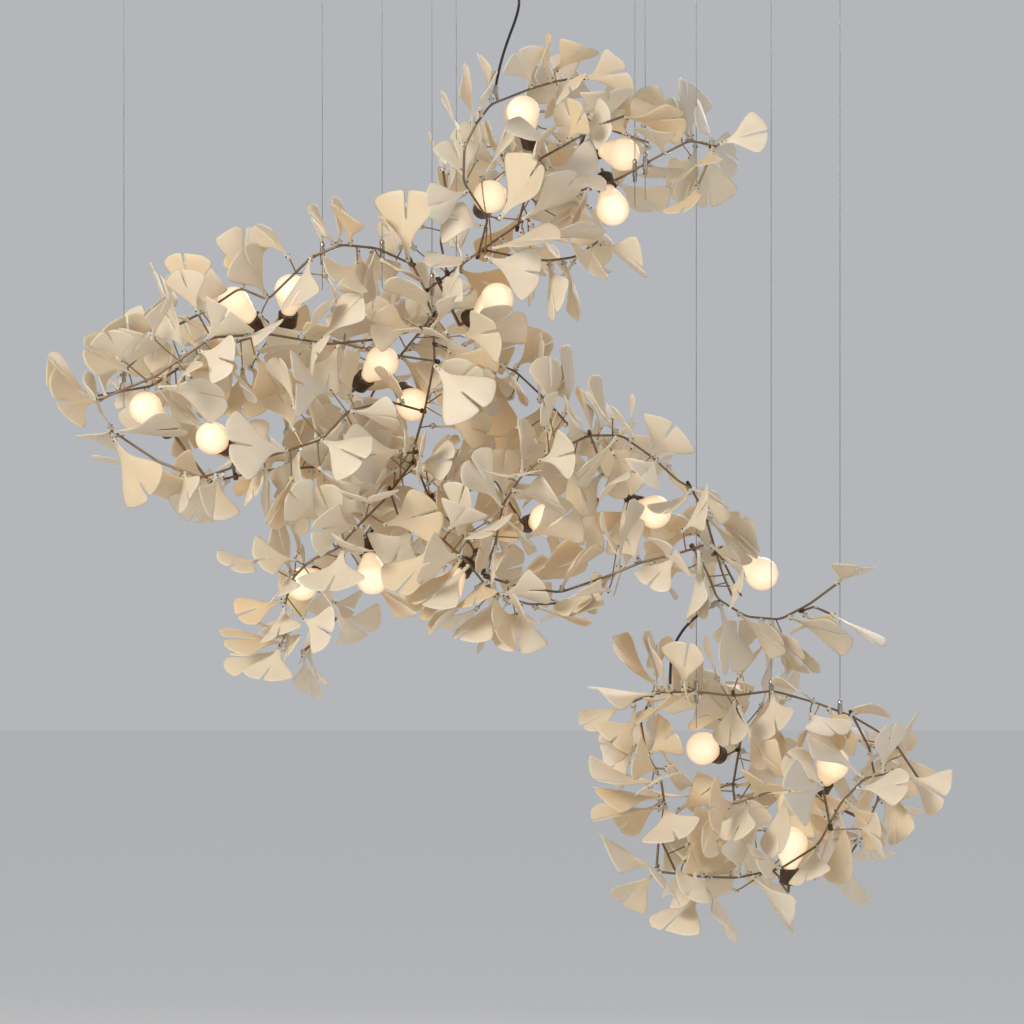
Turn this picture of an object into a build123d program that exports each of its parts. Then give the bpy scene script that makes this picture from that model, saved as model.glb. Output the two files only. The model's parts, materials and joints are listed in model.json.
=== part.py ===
from build123d import *
import math
import os
import random
import numpy as np

# Driving sizes, in millimetres
overall_width = 1640.0
rod_radius = 2.2
twig_radius = 1.3
stalk_radius = 3.0
cable_radius = 0.75
lead_radius = 2.5
leaf_small = 92.0
leaf_medium = 112.0
leaf_large = 130.0
leaf_thickness = 2.8
stem_half_width = 3.0
bulb_radius = 30.0
bulb_front = 30.0
bulb_crown = 19.0
bulb_shoulder = 21.0
bulb_neck = 45.0
cap_end = 72.0
cap_radius = 13.0
holder_wall = 3.5
holder_depth = 25.5
holder_floor = 4.0
bulb_travel = 30.0
height_travel = 30.0
gripper_radius = 4.5
gripper_length = 42.0
cable_tail = 45.0
anchor_radius = 9.0
anchor_height = 16.0
canopy_radius = 60.0
canopy_height = 26.0
canopy_wall = 1.5
plate_radius = 52.0
plate_thickness = 3.0
plate_hole_radius = 2.6
plate_hole_spacing = 70.0
plate_wire_hole = 9.0
cover_stud_radius = 2.0
cover_stud_spacing = 40.0
cover_hole_clearance = 0.4
nut_radius = 5.0
nut_height = 6.0
terminal_width = 30.0
terminal_depth = 14.0
terminal_height = 12.0
fit_clearance = 0.3
seat_clearance = 0.35
branch_clearance = 0.15
branch_tail = 7.0
sleeve_radius = 5.5
sleeve_length = 16.0
sample_step = 7.5
rod_step = 1.0
leaf_spacing = 8.2
part_spacing = 6.0
touch_spacing = 1.5
stem_spacing = 0.35
near_base = 17.0
direct_reach = 15.0
longest_twig = 115.0
depth_nudge = 9.0

# The picture's own measures, in pixels, and the size of one of them
picture_span_px = 912
ceiling_px = -30
centre_px = 519
pixel = overall_width / picture_span_px
depth_share = 1.6

# Leaf outline as shares of its length, and its bowing
flank_shares = (0.42, 0.105)
corner_shares = (0.82, 0.455)
lip_shares = (0.995, 0.05)
slit_share = 0.56
cup_shares = (0.55, -0.45, 0.30, -0.20)
curl_shares = (0.10, 0.16, -0.14, -0.08)
leaf_width_share = 0.91
forward_share = 0.25

# How many flats stand for each round piece
rod_sides = 5
twig_sides = 3
stalk_sides = 4
hexagon = 6
octagon = 8
rim_sides = 20


def place(px, py, depth):
    return np.array([(px - centre_px) * pixel, depth * depth_share * pixel, (ceiling_px - py) * pixel])


def unit(v):
    return v / np.linalg.norm(v)


def face(points):
    return Face(Wire.make_polygon([Vector(*p) for p in points], close=True))


def closed_solid(faces):
    return Solid(Shell(faces))


# The corners of a flat-sided rod at each of its bends, where it is mitred
def rod_rings(points, radius, sides):
    points = [np.array(p) for p in points]
    first = unit(points[1] - points[0])
    helper = np.array([0.0, 0.0, 1.0])
    if abs(first[2]) > 0.8:
        helper = np.array([1.0, 0.0, 0.0])
    side = unit(np.cross(first, helper))
    up = np.cross(first, side)
    ring = []
    for i in range(sides):
        turn = 2 * math.pi * i / sides
        ring.append(points[0] + radius * (math.cos(turn) * side + math.sin(turn) * up))
    rings = [ring]
    for i in range(1, len(points)):
        along = unit(points[i] - points[i - 1])
        plane_normal = along
        if i < len(points) - 1:
            plane_normal = unit(along + unit(points[i + 1] - points[i]))
        moved = []
        for p in rings[-1]:
            reach = np.dot(points[i] - p, plane_normal) / np.dot(along, plane_normal)
            moved.append(p + reach * along)
        rings.append(moved)
    return rings


def faceted_rod(points, radius, sides):
    rings = rod_rings(points, radius, sides)
    faces = [face(list(reversed(rings[0]))), face(rings[-1])]
    for a, b in zip(rings, rings[1:]):
        for i in range(sides):
            j = (i + 1) % sides
            faces.append(face([a[i], a[j], b[j], b[i]]))
    return closed_solid(faces)


# A faceted turned form: stations are (distance along the axis, radius)
def faceted_turned(origin, axis, stations, sides):
    axis = unit(np.array(axis))
    helper = np.array([0.0, 0.0, 1.0])
    if abs(axis[2]) > 0.8:
        helper = np.array([1.0, 0.0, 0.0])
    side = unit(np.cross(axis, helper))
    up = np.cross(axis, side)
    rings = []
    for along, radius in stations:
        ring = []
        for i in range(sides):
            turn = 2 * math.pi * (i + 0.5) / sides
            flat = math.cos(turn) * side + math.sin(turn) * up
            ring.append(origin + along * axis + radius * flat)
        rings.append(ring)
    faces = [face(list(reversed(rings[0]))), face(rings[-1])]
    for a, b in zip(rings, rings[1:]):
        for i in range(sides):
            j = (i + 1) % sides
            faces.append(face([a[i], a[j], b[j], b[i]]))
    return closed_solid(faces)


# Leaf templates: three sizes in four ways of bowing
def leaf_height(length, u, v, kind):
    return length * (cup_shares[kind] * v * v + curl_shares[kind] * u * u)


def leaf_template(length, kind):
    flat = [
        (0, -stem_half_width),
        (flank_shares[0] * length, -flank_shares[1] * length),
        (corner_shares[0] * length, -corner_shares[1] * length),
        (lip_shares[0] * length, -lip_shares[1] * length),
        (slit_share * length, 0),
        (lip_shares[0] * length, lip_shares[1] * length),
        (corner_shares[0] * length, corner_shares[1] * length),
        (flank_shares[0] * length, flank_shares[1] * length),
        (0, stem_half_width),
    ]
    low = []
    high = []
    for x, y in flat:
        z = leaf_height(length, x / length, y / length, kind)
        low.append((x, y, z - leaf_thickness / 2))
        high.append((x, y, z + leaf_thickness / 2))
    triangles = [(0, 8, 4), (0, 4, 1), (8, 7, 4), (1, 4, 2), (7, 6, 4), (2, 4, 3), (6, 5, 4)]
    faces = []
    for a, b, c in triangles:
        faces.append(face([high[a], high[b], high[c]]))
        faces.append(face([low[a], low[c], low[b]]))
    for i in range(len(flat)):
        j = (i + 1) % len(flat)
        faces.append(face([low[i], low[j], high[j], high[i]]))
    return closed_solid(faces)


def inside_leaf(u, v):
    half = np.interp(u, [0, flank_shares[0], corner_shares[0], 1.0],
                     [stem_half_width / leaf_medium, flank_shares[1], corner_shares[1], lip_shares[1]])
    return abs(v) <= half


def leaf_samples(length, kind):
    points = []
    steps = int(round(length / sample_step))
    for i in range(steps + 1):
        u = i / steps
        for j in range(-steps, steps + 1):
            v = j / steps
            if inside_leaf(u, v):
                points.append((u * length, v * length, leaf_height(length, u, v, kind)))
    return np.array(points)


leaf_lengths = [leaf_small, leaf_medium, leaf_large]
leaf_solids = {}
leaf_points = {}
for size in range(len(leaf_lengths)):
    for kind in range(len(cup_shares)):
        leaf_solids[(size, kind)] = leaf_template(leaf_lengths[size], kind)
        leaf_points[(size, kind)] = leaf_samples(leaf_lengths[size], kind)


# How far points stand outside a straight stretch between two rings
def distance_to_prism(points, first, last):
    first = np.array(first)
    last = np.array(last)
    middle = (first.mean(axis=0) + last.mean(axis=0)) / 2
    outward = unit(last.mean(axis=0) - first.mean(axis=0))
    distance = np.maximum((points - first[0]) @ -outward, (points - last[0]) @ outward)
    for i in range(len(first)):
        flat = unit(np.cross(first[i] - first[i - 1], last[i] - first[i]))
        if np.dot(flat, first[i] - middle) < 0:
            flat = -flat
        distance = np.maximum(distance, (points - first[i]) @ flat)
    return distance.min()


def distance_to_segment(points, a, b):
    span = b - a
    share = np.clip((points - a) @ span / np.dot(span, span), 0, 1)
    return np.linalg.norm(points - (a + share[:, None] * span), axis=1).min()


# What is already in place: sample points with the distance others must keep
taken_points = {"leaf": [], "part": [], "lamp": []}
taken_reach = {"leaf": [], "part": [], "lamp": []}
taken_group = {"leaf": [], "part": [], "lamp": []}
taken_owner = {"leaf": [], "part": [], "lamp": []}


def take(kind, points, reach, group, owner=""):
    taken_points[kind].append(np.array(points))
    taken_reach[kind].append(np.full(len(points), reach))
    taken_group[kind].append(np.full(len(points), group))
    taken_owner[kind].append(np.full(len(points), owner, dtype="U20"))


def nearest_clearance(kind, points, group, skip=None):
    if not taken_points[kind]:
        return 2 * overall_width
    others = np.concatenate(taken_points[kind])
    reach = np.concatenate(taken_reach[kind])
    groups = np.concatenate(taken_group[kind])
    low = points.min(axis=0) - 2 * bulb_radius
    high = points.max(axis=0) + 2 * bulb_radius
    low[2] -= height_travel
    high[2] += height_travel
    near = np.all((others > low) & (others < high), axis=1)
    if skip is not None:
        near &= np.concatenate(taken_owner[kind]) != skip
    if not near.any():
        return 2 * overall_width
    others = others[near]
    reach = reach[near]
    groups = groups[near]
    best = 2 * overall_width
    same = groups == group
    for shift, chosen in ((0, same | ~same), (height_travel, ~same), (-height_travel, ~same)):
        if chosen.any():
            moved = others[chosen] + np.array([0, 0, shift])
            gaps = np.linalg.norm(points[:, None, :] - moved[None, :, :], axis=2) - reach[chosen][None, :]
            best = min(best, gaps.min())
    return best


def line_samples(points, step):
    samples = []
    for a, b in zip(points, points[1:]):
        count = max(2, int(np.linalg.norm(b - a) / step) + 1)
        for i in range(count):
            samples.append(a + (b - a) * i / count)
    samples.append(points[-1])
    return np.array(samples)


def nearest_on_line(points, spot, flat_only):
    best = None
    for index, (a, b) in enumerate(zip(points, points[1:])):
        span = b - a
        gap = spot - a
        if flat_only:
            span = span * np.array([1, 0, 1])
            gap = gap * np.array([1, 0, 1])
        share = min(0.97, max(0.03, np.dot(gap, span) / np.dot(span, span)))
        found = a + share * (b - a)
        miss = spot - found
        if flat_only:
            miss = miss * np.array([1, 0, 1])
        distance = np.linalg.norm(miss)
        if best is None or distance < best[0]:
            best = (distance, found, unit(b - a), index)
    return best


# Branch rods, read from the picture as (x, y, depth) in pixels, each with the rod it starts from
rod_routes_px = [
    ("trunk", None, "upper", [(409, 258, -12), (425, 290, -15), (433, 320, -18), (435, 360, -15),
                              (425, 410, -8), (412, 455, 0), (430, 500, 5), (468, 540, 5), (492, 582, 0)]),
    ("left_front", "trunk", "upper", [(433, 326, 0), (385, 340, -32), (330, 346, -45), (270, 336, -50),
                                      (215, 340, -55), (160, 378, -50), (100, 402, -40)]),
    ("left_back", "trunk", "upper", [(435, 362, 0), (380, 352, 28), (320, 336, 46), (260, 332, 50),
                                     (200, 350, 45), (150, 385, 28), (95, 396, 6)]),
    ("low_front", "trunk", "upper", [(424, 412, 0), (389, 402, -30), (350, 412, -45), (325, 440, -50),
                                     (289, 452, -52), (245, 465, -48), (205, 478, -36), (160, 462, -24),
                                     (112, 430, -18)]),
    ("low_back", "trunk", "upper", [(413, 452, 0), (370, 456, 34), (320, 466, 46), (260, 470, 42),
                                    (208, 482, 22)]),
    ("arch", "trunk", "upper", [(412, 264, 0), (377, 249, -14), (342, 246, -20), (312, 258, -14),
                                (268, 300, -4), (240, 288, 0), (207, 310, 2), (165, 332, -6),
                                (121, 376, -14)]),
    ("drop_front", "trunk", "upper", [(414, 462, 0), (385, 500, -26), (358, 527, -34), (340, 548, -38),
                                      (312, 560, -38), (294, 578, -34), (284, 612, -28), (293, 648, -20)]),
    ("drop_back", "trunk", "upper", [(428, 498, 0), (385, 522, 28), (345, 548, 36), (320, 590, 34),
                                     (338, 616, 18), (318, 640, 6), (302, 652, 2)]),
    ("low_sweep", "drop_front", "upper", [(390, 492, 0), (402, 524, -42), (440, 536, -46), (468, 562, -44),
                                          (484, 582, -40), (502, 596, -36), (530, 604, -28),
                                          (556, 603, -18)]),
    ("right_front", "trunk", "upper", [(486, 570, 0), (495, 545, -18), (503, 505, -28), (522, 475, -32),
                                       (545, 457, -32), (588, 436, -30), (621, 436, -30), (652, 458, -28),
                                       (676, 480, -25), (695, 491, -20)]),
    ("right_low", "trunk", "upper", [(490, 576, 0), (524, 588, -12), (560, 592, -20), (604, 577, -26),
                                     (640, 562, -32), (680, 552, -36), (702, 545, -36)]),
    ("tail", "right_low", "upper", [(692, 549, 0), (706, 572, -30), (716, 598, -26), (745, 616, -22),
                                    (779, 619, -18), (808, 604, -16), (838, 582, -14)]),
    ("tail_fork", "tail", "upper", [(800, 608, 0), (812, 606, -30), (830, 614, -32)]),
    ("right_back", "right_front", "upper", [(588, 436, 0), (604, 470, 30), (640, 504, 44), (690, 526, 44),
                                            (722, 556, 34), (742, 596, 14)]),
    ("right_drop", "right_front", "upper", [(688, 487, 0), (704, 512, -8), (712, 540, -6), (722, 572, -2),
                                            (732, 596, -2)]),
    ("heart_back", "trunk", "upper", [(435, 345, 0), (475, 356, 16), (515, 370, 26), (545, 398, 22),
                                      (568, 424, 6)]),
    ("heart_low", "trunk", "upper", [(431, 503, 0), (470, 490, 42), (515, 474, 52), (560, 474, 46),
                                     (600, 500, 36)]),
    ("heart_left", "trunk", "upper", [(432, 316, 0), (402, 350, 50), (372, 388, 66), (352, 432, 72),
                                      (348, 486, 62)]),
    ("rise", "trunk", "upper", [(426, 292, 0), (446, 276, -2), (481, 251, -6), (515, 227, -5),
                                (542, 206, 0), (575, 192, 5), (620, 178, 5), (655, 158, 0), (690, 141, -6),
                                (716, 147, -10)]),
    ("top_front", "rise", "upper", [(477, 254, 0), (488, 222, -40), (464, 186, -52), (465, 152, -54),
                                    (477, 128, -52), (491, 109, -46), (530, 93, -40), (559, 84, -34),
                                    (594, 80, -24)]),
    ("top_mid", "rise", "upper", [(515, 227, 0), (527, 192, -36), (535, 165, -42), (566, 148, -42),
                                  (600, 128, -36), (625, 118, -26)]),
    ("top_back", "rise", "upper", [(540, 207, 0), (520, 184, 44), (496, 142, 56), (518, 108, 52),
                                   (560, 106, 46), (604, 124, 38), (650, 140, 30)]),
    ("top_left", "rise", "upper", [(448, 274, 0), (440, 240, 16), (448, 204, 20), (443, 170, 12)]),
    ("top_low", "rise", "upper", [(484, 249, 0), (515, 258, -28), (548, 263, -34), (575, 259, -32),
                                  (598, 243, -26)]),
    ("tip_low", "rise", "upper", [(711, 145, 0), (706, 166, -16), (697, 187, -16)]),
    ("pod_top", None, "lower", [(621, 707, 4), (655, 692, -8), (694, 691, -14), (733, 695, -18),
                                (772, 690, -15), (815, 702, -10), (852, 716, -2), (893, 740, 0),
                                (922, 784, -4)]),
    ("pod_left", "pod_top", "lower", [(650, 694, 0), (640, 720, -18), (645, 750, -28), (660, 778, -34),
                                      (663, 800, -34), (660, 838, -28), (676, 872, -22),
                                      (704, 890, -14)]),
    ("pod_low", "pod_left", "lower", [(661, 832, 0), (655, 868, -40), (700, 873, -44), (735, 874, -44),
                                      (778, 865, -42), (815, 842, -40), (838, 800, -38), (862, 776, -34),
                                      (894, 770, -24)]),
    ("pod_back", "pod_top", "lower", [(733, 695, 0), (744, 740, 50), (736, 790, 60), (742, 842, 50),
                                      (786, 884, 26)]),
    ("pod_right", "pod_top", "lower", [(852, 716, 0), (872, 750, 30), (882, 800, 34), (862, 842, 28),
                                       (846, 862, 8)]),
    ("pod_mid", "pod_low", "lower", [(826, 823, 0), (819, 784, -52), (784, 782, -56), (744, 796, -54),
                                     (712, 806, -50)]),
]

# Bulbs: centre of the globe (x, y, depth) in pixels, which way it points, and its rod
bulb_places_px = [
    ("top", (523, 112, 2), (-0.2, 0.75, -0.55), "top_back"),
    ("top", (624, 152, 14), (0.55, -0.1, -0.5), "top_back"),
    ("top", (612, 211, -14), (0.3, -0.6, -0.6), "rise"),
    ("top", (490, 196, 8), (0.2, 0.3, -0.9), "top_back"),
    ("left", (145, 408, -2), (-0.7, -0.1, -0.5), "low_front"),
    ("left", (212, 438, 2), (-0.3, 0.2, -0.8), "low_back"),
    ("left", (232, 302, 24), (-0.6, 0.5, -0.3), "left_back"),
    ("left", (290, 290, 14), (0.1, 0.8, -0.5), "left_back"),
    ("left", (382, 362, -2), (-0.4, 0.1, -0.8), "left_back"),
    ("left", (412, 404, 26), (0.2, -0.3, -0.7), "heart_left"),
    ("left", (497, 300, 4), (0.5, 0.5, -0.4), "rise"),
    ("left", (302, 584, -2), (-0.5, -0.3, -0.6), "drop_back"),
    ("left", (372, 578, 4), (0.1, -0.8, -0.4), "drop_back"),
    ("right", (655, 512, 4), (0.5, -0.2, -0.7), "right_back"),
    ("right", (762, 574, 4), (0.75, -0.5, -0.2), "right_drop"),
    ("right", (446, 590, -2), (-0.5, -0.6, -0.4), "trunk"),
    ("right", (546, 520, 2), (0.4, 0.1, -0.8), "heart_low"),
    ("pod", (703, 749, -2), (-0.3, 0.1, -0.85), "pod_back"),
    ("pod", (834, 765, -2), (0.1, 0.2, -0.9), "pod_right"),
    ("pod", (791, 843, -4), (0.05, 0.95, -0.2), "pod_back"),
]

# Cables: x in pixels, the rod each one holds, and which side of the rod it passes
cable_places_px = [
    ("upper", 126, "arch", 1),
    ("upper", 322, "arch", 1),
    ("upper", 383, "arch", 1),
    ("upper", 435, "rise", 1),
    ("upper", 457, "rise", -1),
    ("upper", 634, "rise", 1),
    ("upper", 646, "rise", -1),
    ("lower", 694, "pod_top", 1),
    ("lower", 772, "pod_top", 1),
    ("lower", 838, "pod_top", -1),
]

# Leaves: stem (x, y), outer edge (x, y), width seen, depth of the stem, all in pixels
top_leaf_px = [
    (530, 90, 515, 53, 45, -38), (548, 80, 539, 38, 10, -34), (554, 76, 590, 54, 14, -30),
    (581, 81, 622, 80, 48, -26), (583, 118, 622, 100, 16, -20), (582, 135, 604, 130, 45, -44),
    (499, 230, 525, 157, 18, -60), (522, 224, 584, 183, 32, -58), (409, 260, 403, 188, 68, -30),
    (402, 250, 383, 232, 14, -14), (442, 168, 434, 133, 10, 8), (487, 252, 556, 240, 24, -52),
    (530, 240, 596, 238, 18, -44), (598, 241, 649, 262, 28, -30), (485, 259, 535, 283, 50, -40),
    (548, 264, 552, 316, 18, -38), (563, 263, 587, 318, 12, -36), (590, 247, 588, 266, 20, -34),
    (692, 140, 696, 82, 28, -6), (712, 143, 698, 104, 12, -12), (718, 146, 766, 143, 44, -12),
    (622, 119, 681, 117, 28, -34), (621, 140, 628, 98, 45, 26), (664, 156, 655, 126, 35, -12),
    (690, 140, 668, 104, 24, 2), (712, 149, 697, 178, 25, -20), (716, 150, 724, 208, 26, -14),
    (718, 148, 737, 186, 12, -6), (697, 187, 683, 220, 28, -16), (614, 180, 662, 200, 30, 8),
    (650, 164, 672, 180, 30, 8), (477, 132, 472, 78, 12, -54), (466, 152, 460, 98, 12, -54),
    (480, 124, 488, 84, 10, -46), (492, 108, 500, 58, 14, -48), (505, 100, 495, 62, 14, -40),
    (470, 190, 462, 140, 34, -50), (562, 112, 560, 94, 42, 40), (562, 150, 508, 128, 16, -46),
    (535, 168, 530, 138, 20, -44), (545, 172, 598, 172, 30, -50), (540, 210, 572, 215, 22, -8),
    (590, 188, 575, 212, 20, -4), (582, 135, 562, 118, 25, -30), (440, 206, 447, 168, 14, 10),
    (457, 236, 425, 240, 25, 8), (470, 258, 432, 262, 16, -12), (660, 158, 640, 196, 30, 10),
    (518, 108, 540, 70, 30, 50), (496, 142, 462, 118, 30, 52), (600, 124, 640, 108, 30, 44),
    (508, 165, 476, 180, 30, 46), (560, 106, 575, 66, 34, 48),
]
left_leaf_px = [
    (100, 402, 56, 408, 60, -44), (92, 398, 44, 362, 33, -4), (97, 394, 112, 308, 24, -4),
    (104, 400, 95, 355, 28, -34), (112, 428, 78, 380, 10, -22), (121, 378, 148, 330, 50, -30),
    (120, 384, 118, 348, 20, 4), (155, 340, 158, 308, 24, -8), (162, 388, 242, 395, 38, -52),
    (175, 368, 238, 356, 25, -46), (207, 310, 190, 272, 56, 6), (117, 432, 186, 432, 28, -30),
    (112, 432, 162, 490, 12, -34), (160, 462, 98, 475, 26, -26), (190, 470, 197, 498, 14, -38),
    (205, 481, 154, 506, 36, -30), (112, 430, 90, 446, 20, -8), (208, 340, 240, 308, 56, -56),
    (172, 330, 163, 268, 20, 2), (242, 288, 246, 228, 54, -2), (268, 302, 247, 248, 20, -6),
    (312, 258, 300, 313, 34, -22), (336, 246, 317, 213, 10, -18), (342, 246, 327, 210, 10, -12),
    (350, 247, 337, 212, 10, -8), (334, 393, 290, 384, 60, -52), (289, 452, 238, 446, 58, -56),
    (262, 460, 252, 498, 12, -46), (268, 467, 280, 518, 32, -44), (228, 478, 208, 537, 30, -34),
    (320, 344, 262, 338, 28, -40), (400, 340, 325, 326, 44, -20), (422, 330, 376, 336, 46, -38),
    (432, 330, 466, 288, 14, -32), (462, 346, 520, 320, 42, -6), (435, 366, 478, 412, 68, -34),
    (318, 440, 320, 393, 20, -40), (350, 408, 400, 412, 30, -46), (352, 400, 352, 357, 16, -38),
    (408, 402, 380, 380, 14, -22), (424, 400, 436, 362, 16, -20), (414, 446, 397, 430, 24, -18),
    (402, 452, 352, 455, 60, -22), (396, 470, 366, 486, 26, -30), (352, 420, 315, 468, 22, -50),
    (414, 470, 454, 458, 16, -30), (402, 483, 358, 518, 30, -34), (358, 527, 312, 527, 56, -40),
    (345, 548, 335, 596, 62, -44), (420, 520, 380, 558, 60, -40), (298, 560, 262, 552, 28, -42),
    (262, 466, 264, 532, 22, 40), (310, 470, 285, 535, 26, 40), (294, 570, 285, 602, 26, -40),
    (286, 600, 240, 612, 30, -32), (318, 590, 312, 625, 16, 30), (284, 604, 289, 640, 10, -34),
    (290, 630, 298, 660, 28, -28), (290, 640, 258, 628, 24, -26), (290, 646, 224, 632, 18, -24),
    (292, 648, 236, 684, 26, -22), (293, 648, 280, 704, 26, -18), (303, 652, 308, 700, 28, 0),
    (302, 650, 319, 680, 10, 4), (330, 630, 308, 660, 10, 10), (338, 616, 366, 626, 48, 16),
    (260, 560, 232, 560, 20, -30), (294, 640, 214, 636, 20, -12), (262, 332, 300, 300, 34, 46),
    (200, 350, 176, 318, 34, 44), (260, 470, 226, 440, 34, 40), (150, 385, 176, 440, 34, 26),
    (320, 336, 352, 300, 34, 46), (380, 352, 396, 302, 34, 28), (372, 388, 332, 372, 34, 62),
    (352, 432, 392, 420, 34, 66), (348, 486, 316, 500, 34, 60), (402, 350, 440, 338, 34, 48),
    (345, 548, 384, 560, 34, 36), (385, 522, 368, 500, 34, 30), (208, 482, 182, 460, 34, 22),
]
right_leaf_px = [
    (617, 432, 581, 386, 18, -32), (632, 438, 627, 404, 10, -26), (652, 458, 672, 432, 52, -34),
    (667, 466, 686, 480, 16, -20), (693, 486, 733, 506, 22, -22), (704, 512, 776, 556, 22, -14),
    (706, 516, 743, 562, 14, -4), (710, 545, 737, 568, 16, -14), (722, 592, 768, 612, 20, -14),
    (720, 600, 723, 672, 24, -28), (735, 612, 776, 651, 16, -22), (758, 618, 797, 662, 16, -18),
    (769, 619, 817, 672, 20, -14), (836, 584, 858, 560, 34, -14), (789, 618, 846, 646, 24, -20),
    (800, 608, 838, 634, 14, -12), (829, 613, 874, 642, 18, -34), (697, 549, 696, 619, 14, -42),
    (703, 556, 710, 609, 12, -26), (677, 552, 642, 580, 34, -40), (618, 572, 622, 495, 20, -30),
    (616, 437, 598, 492, 32, -34), (560, 450, 607, 505, 12, -26), (656, 462, 640, 474, 46, -34),
    (690, 490, 662, 518, 20, -28), (600, 579, 580, 618, 22, -30), (592, 582, 566, 608, 18, -24),
    (538, 462, 578, 462, 46, -38), (533, 470, 560, 482, 36, -20), (512, 490, 566, 500, 24, -38),
    (524, 538, 570, 506, 26, -10), (520, 588, 574, 541, 44, -18), (508, 586, 546, 560, 12, -22),
    (500, 594, 548, 588, 34, -42), (488, 572, 486, 546, 16, -16), (486, 582, 470, 600, 16, -46),
    (462, 555, 418, 568, 56, -50), (470, 566, 425, 614, 36, -48), (466, 540, 464, 510, 18, -8),
    (455, 528, 443, 485, 16, -4), (486, 586, 503, 612, 10, -40), (502, 598, 532, 614, 12, -36),
    (556, 603, 600, 604, 14, -22), (530, 604, 580, 626, 22, -26), (524, 602, 538, 654, 50, -32),
    (498, 596, 464, 646, 30, -38), (512, 600, 486, 648, 18, -28), (480, 584, 443, 656, 12, -34),
    (442, 537, 382, 628, 36, -50), (462, 558, 424, 634, 32, -30), (502, 508, 474, 458, 36, -34),
    (506, 500, 512, 452, 24, -22), (452, 496, 428, 520, 24, 24), (560, 592, 596, 552, 24, -14),
    (612, 574, 578, 598, 14, -36), (640, 562, 616, 530, 40, -26), (650, 560, 668, 596, 24, -26),
    (588, 436, 560, 412, 24, -22), (604, 470, 570, 500, 34, 32), (640, 504, 676, 540, 34, 44),
    (640, 504, 612, 540, 34, 40), (690, 526, 716, 500, 34, 44), (722, 556, 700, 590, 34, 34),
    (600, 500, 584, 548, 34, 38), (560, 474, 534, 440, 34, 46), (515, 474, 500, 520, 34, 50),
    (470, 490, 440, 468, 34, 42), (545, 398, 572, 372, 30, 20), (545, 398, 520, 340, 34, 18),
    (515, 370, 548, 336, 30, 24), (475, 356, 506, 402, 34, 12), (568, 424, 540, 420, 30, 4),
    (545, 398, 536, 430, 30, 22), (515, 370, 486, 404, 34, 28), (500, 362, 530, 400, 26, 10),
    (560, 414, 574, 348, 20, 6), (475, 356, 512, 344, 30, 24), (495, 364, 484, 440, 30, 14),
]
pod_leaf_px = [
    (662, 690, 594, 638, 22, -12), (654, 692, 637, 634, 18, -8), (668, 691, 645, 640, 10, -16),
    (682, 690, 682, 640, 36, -18), (696, 691, 638, 718, 18, -22), (655, 693, 593, 706, 22, -10),
    (626, 706, 580, 724, 24, -2), (645, 750, 600, 736, 22, -30), (660, 778, 593, 781, 18, -38),
    (662, 796, 585, 795, 22, -38), (661, 806, 588, 806, 12, -32), (662, 801, 625, 833, 20, -26),
    (663, 800, 674, 840, 56, -40), (655, 868, 592, 842, 24, -42), (656, 870, 616, 891, 24, -38),
    (704, 889, 666, 924, 36, -18), (700, 880, 742, 929, 10, -24), (786, 884, 788, 930, 60, 22),
    (838, 812, 820, 905, 26, -38), (843, 860, 850, 905, 24, 4), (832, 806, 848, 880, 22, -34),
    (904, 774, 946, 796, 46, -16), (893, 741, 921, 726, 26, 0), (862, 776, 806, 724, 26, -38),
    (772, 690, 775, 736, 48, -20), (819, 784, 788, 792, 60, -58), (786, 782, 765, 846, 22, -58),
    (814, 702, 787, 668, 16, -12), (748, 694, 711, 684, 16, -18), (888, 770, 902, 856, 22, -24),
    (840, 796, 872, 838, 30, -34), (733, 695, 722, 742, 34, -22), (744, 796, 728, 838, 34, -56),
    (712, 806, 694, 848, 30, -52), (735, 874, 728, 830, 34, -46), (778, 865, 752, 848, 20, -44),
    (852, 716, 876, 700, 30, -2), (872, 750, 912, 752, 30, 28), (882, 800, 916, 826, 34, 32),
    (862, 842, 884, 866, 34, 26), (744, 740, 700, 716, 34, 46), (744, 740, 784, 716, 34, 48),
    (736, 790, 690, 800, 34, 58), (736, 790, 782, 800, 34, 58), (742, 842, 700, 852, 34, 50),
    (742, 842, 770, 884, 34, 46), (640, 720, 614, 742, 26, -14), (815, 842, 800, 872, 24, -42),
    (694, 691, 712, 660, 16, -8), (700, 873, 682, 842, 30, -46), (862, 842, 830, 862, 34, 26),
    (655, 868, 690, 860, 22, -30), (830, 707, 852, 742, 34, -12), (790, 696, 762, 722, 34, -4),
]

# Rods first, each beside the rod it starts from
rod_lines = {}
rod_corners = {}
rod_group = {}
for name, parent, group, route in rod_routes_px:
    accepted = None
    for nudge in (0, 1, -1, 2, -2, 3, -3, 4, -4):
        points = [place(*p) for p in route]
        if parent:
            for i in range(1, len(points)):
                points[i][1] += nudge * depth_nudge
            found = nearest_on_line(rod_lines[parent], points[0], True)
            away = unit(points[1] - found[1])
            offset = unit(np.cross(found[2], away))
            for sign in (1, -1):
                seat = found[1] + sign * offset * (2 * rod_radius + branch_clearance)
                line = [seat - branch_tail * unit(points[1] - seat)] + points[1:]
                samples = line_samples(line, rod_step)
                clear = nearest_clearance("part", samples, group)
                away_samples = samples[np.linalg.norm(samples - seat, axis=1) > 2 * branch_tail]
                far = nearest_clearance("part", away_samples, group)
                if clear > rod_radius + branch_clearance / 2 and far > rod_radius + fit_clearance:
                    accepted = line
                    break
        else:
            accepted = points
        if accepted is not None:
            break
    if accepted is None:
        print("rod left out:", name)
        continue
    rod_lines[name] = accepted
    rod_corners[name] = rod_rings(accepted, rod_radius, rod_sides)
    rod_group[name] = group
    take("part", line_samples(accepted, rod_step), rod_radius, group, name)

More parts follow.
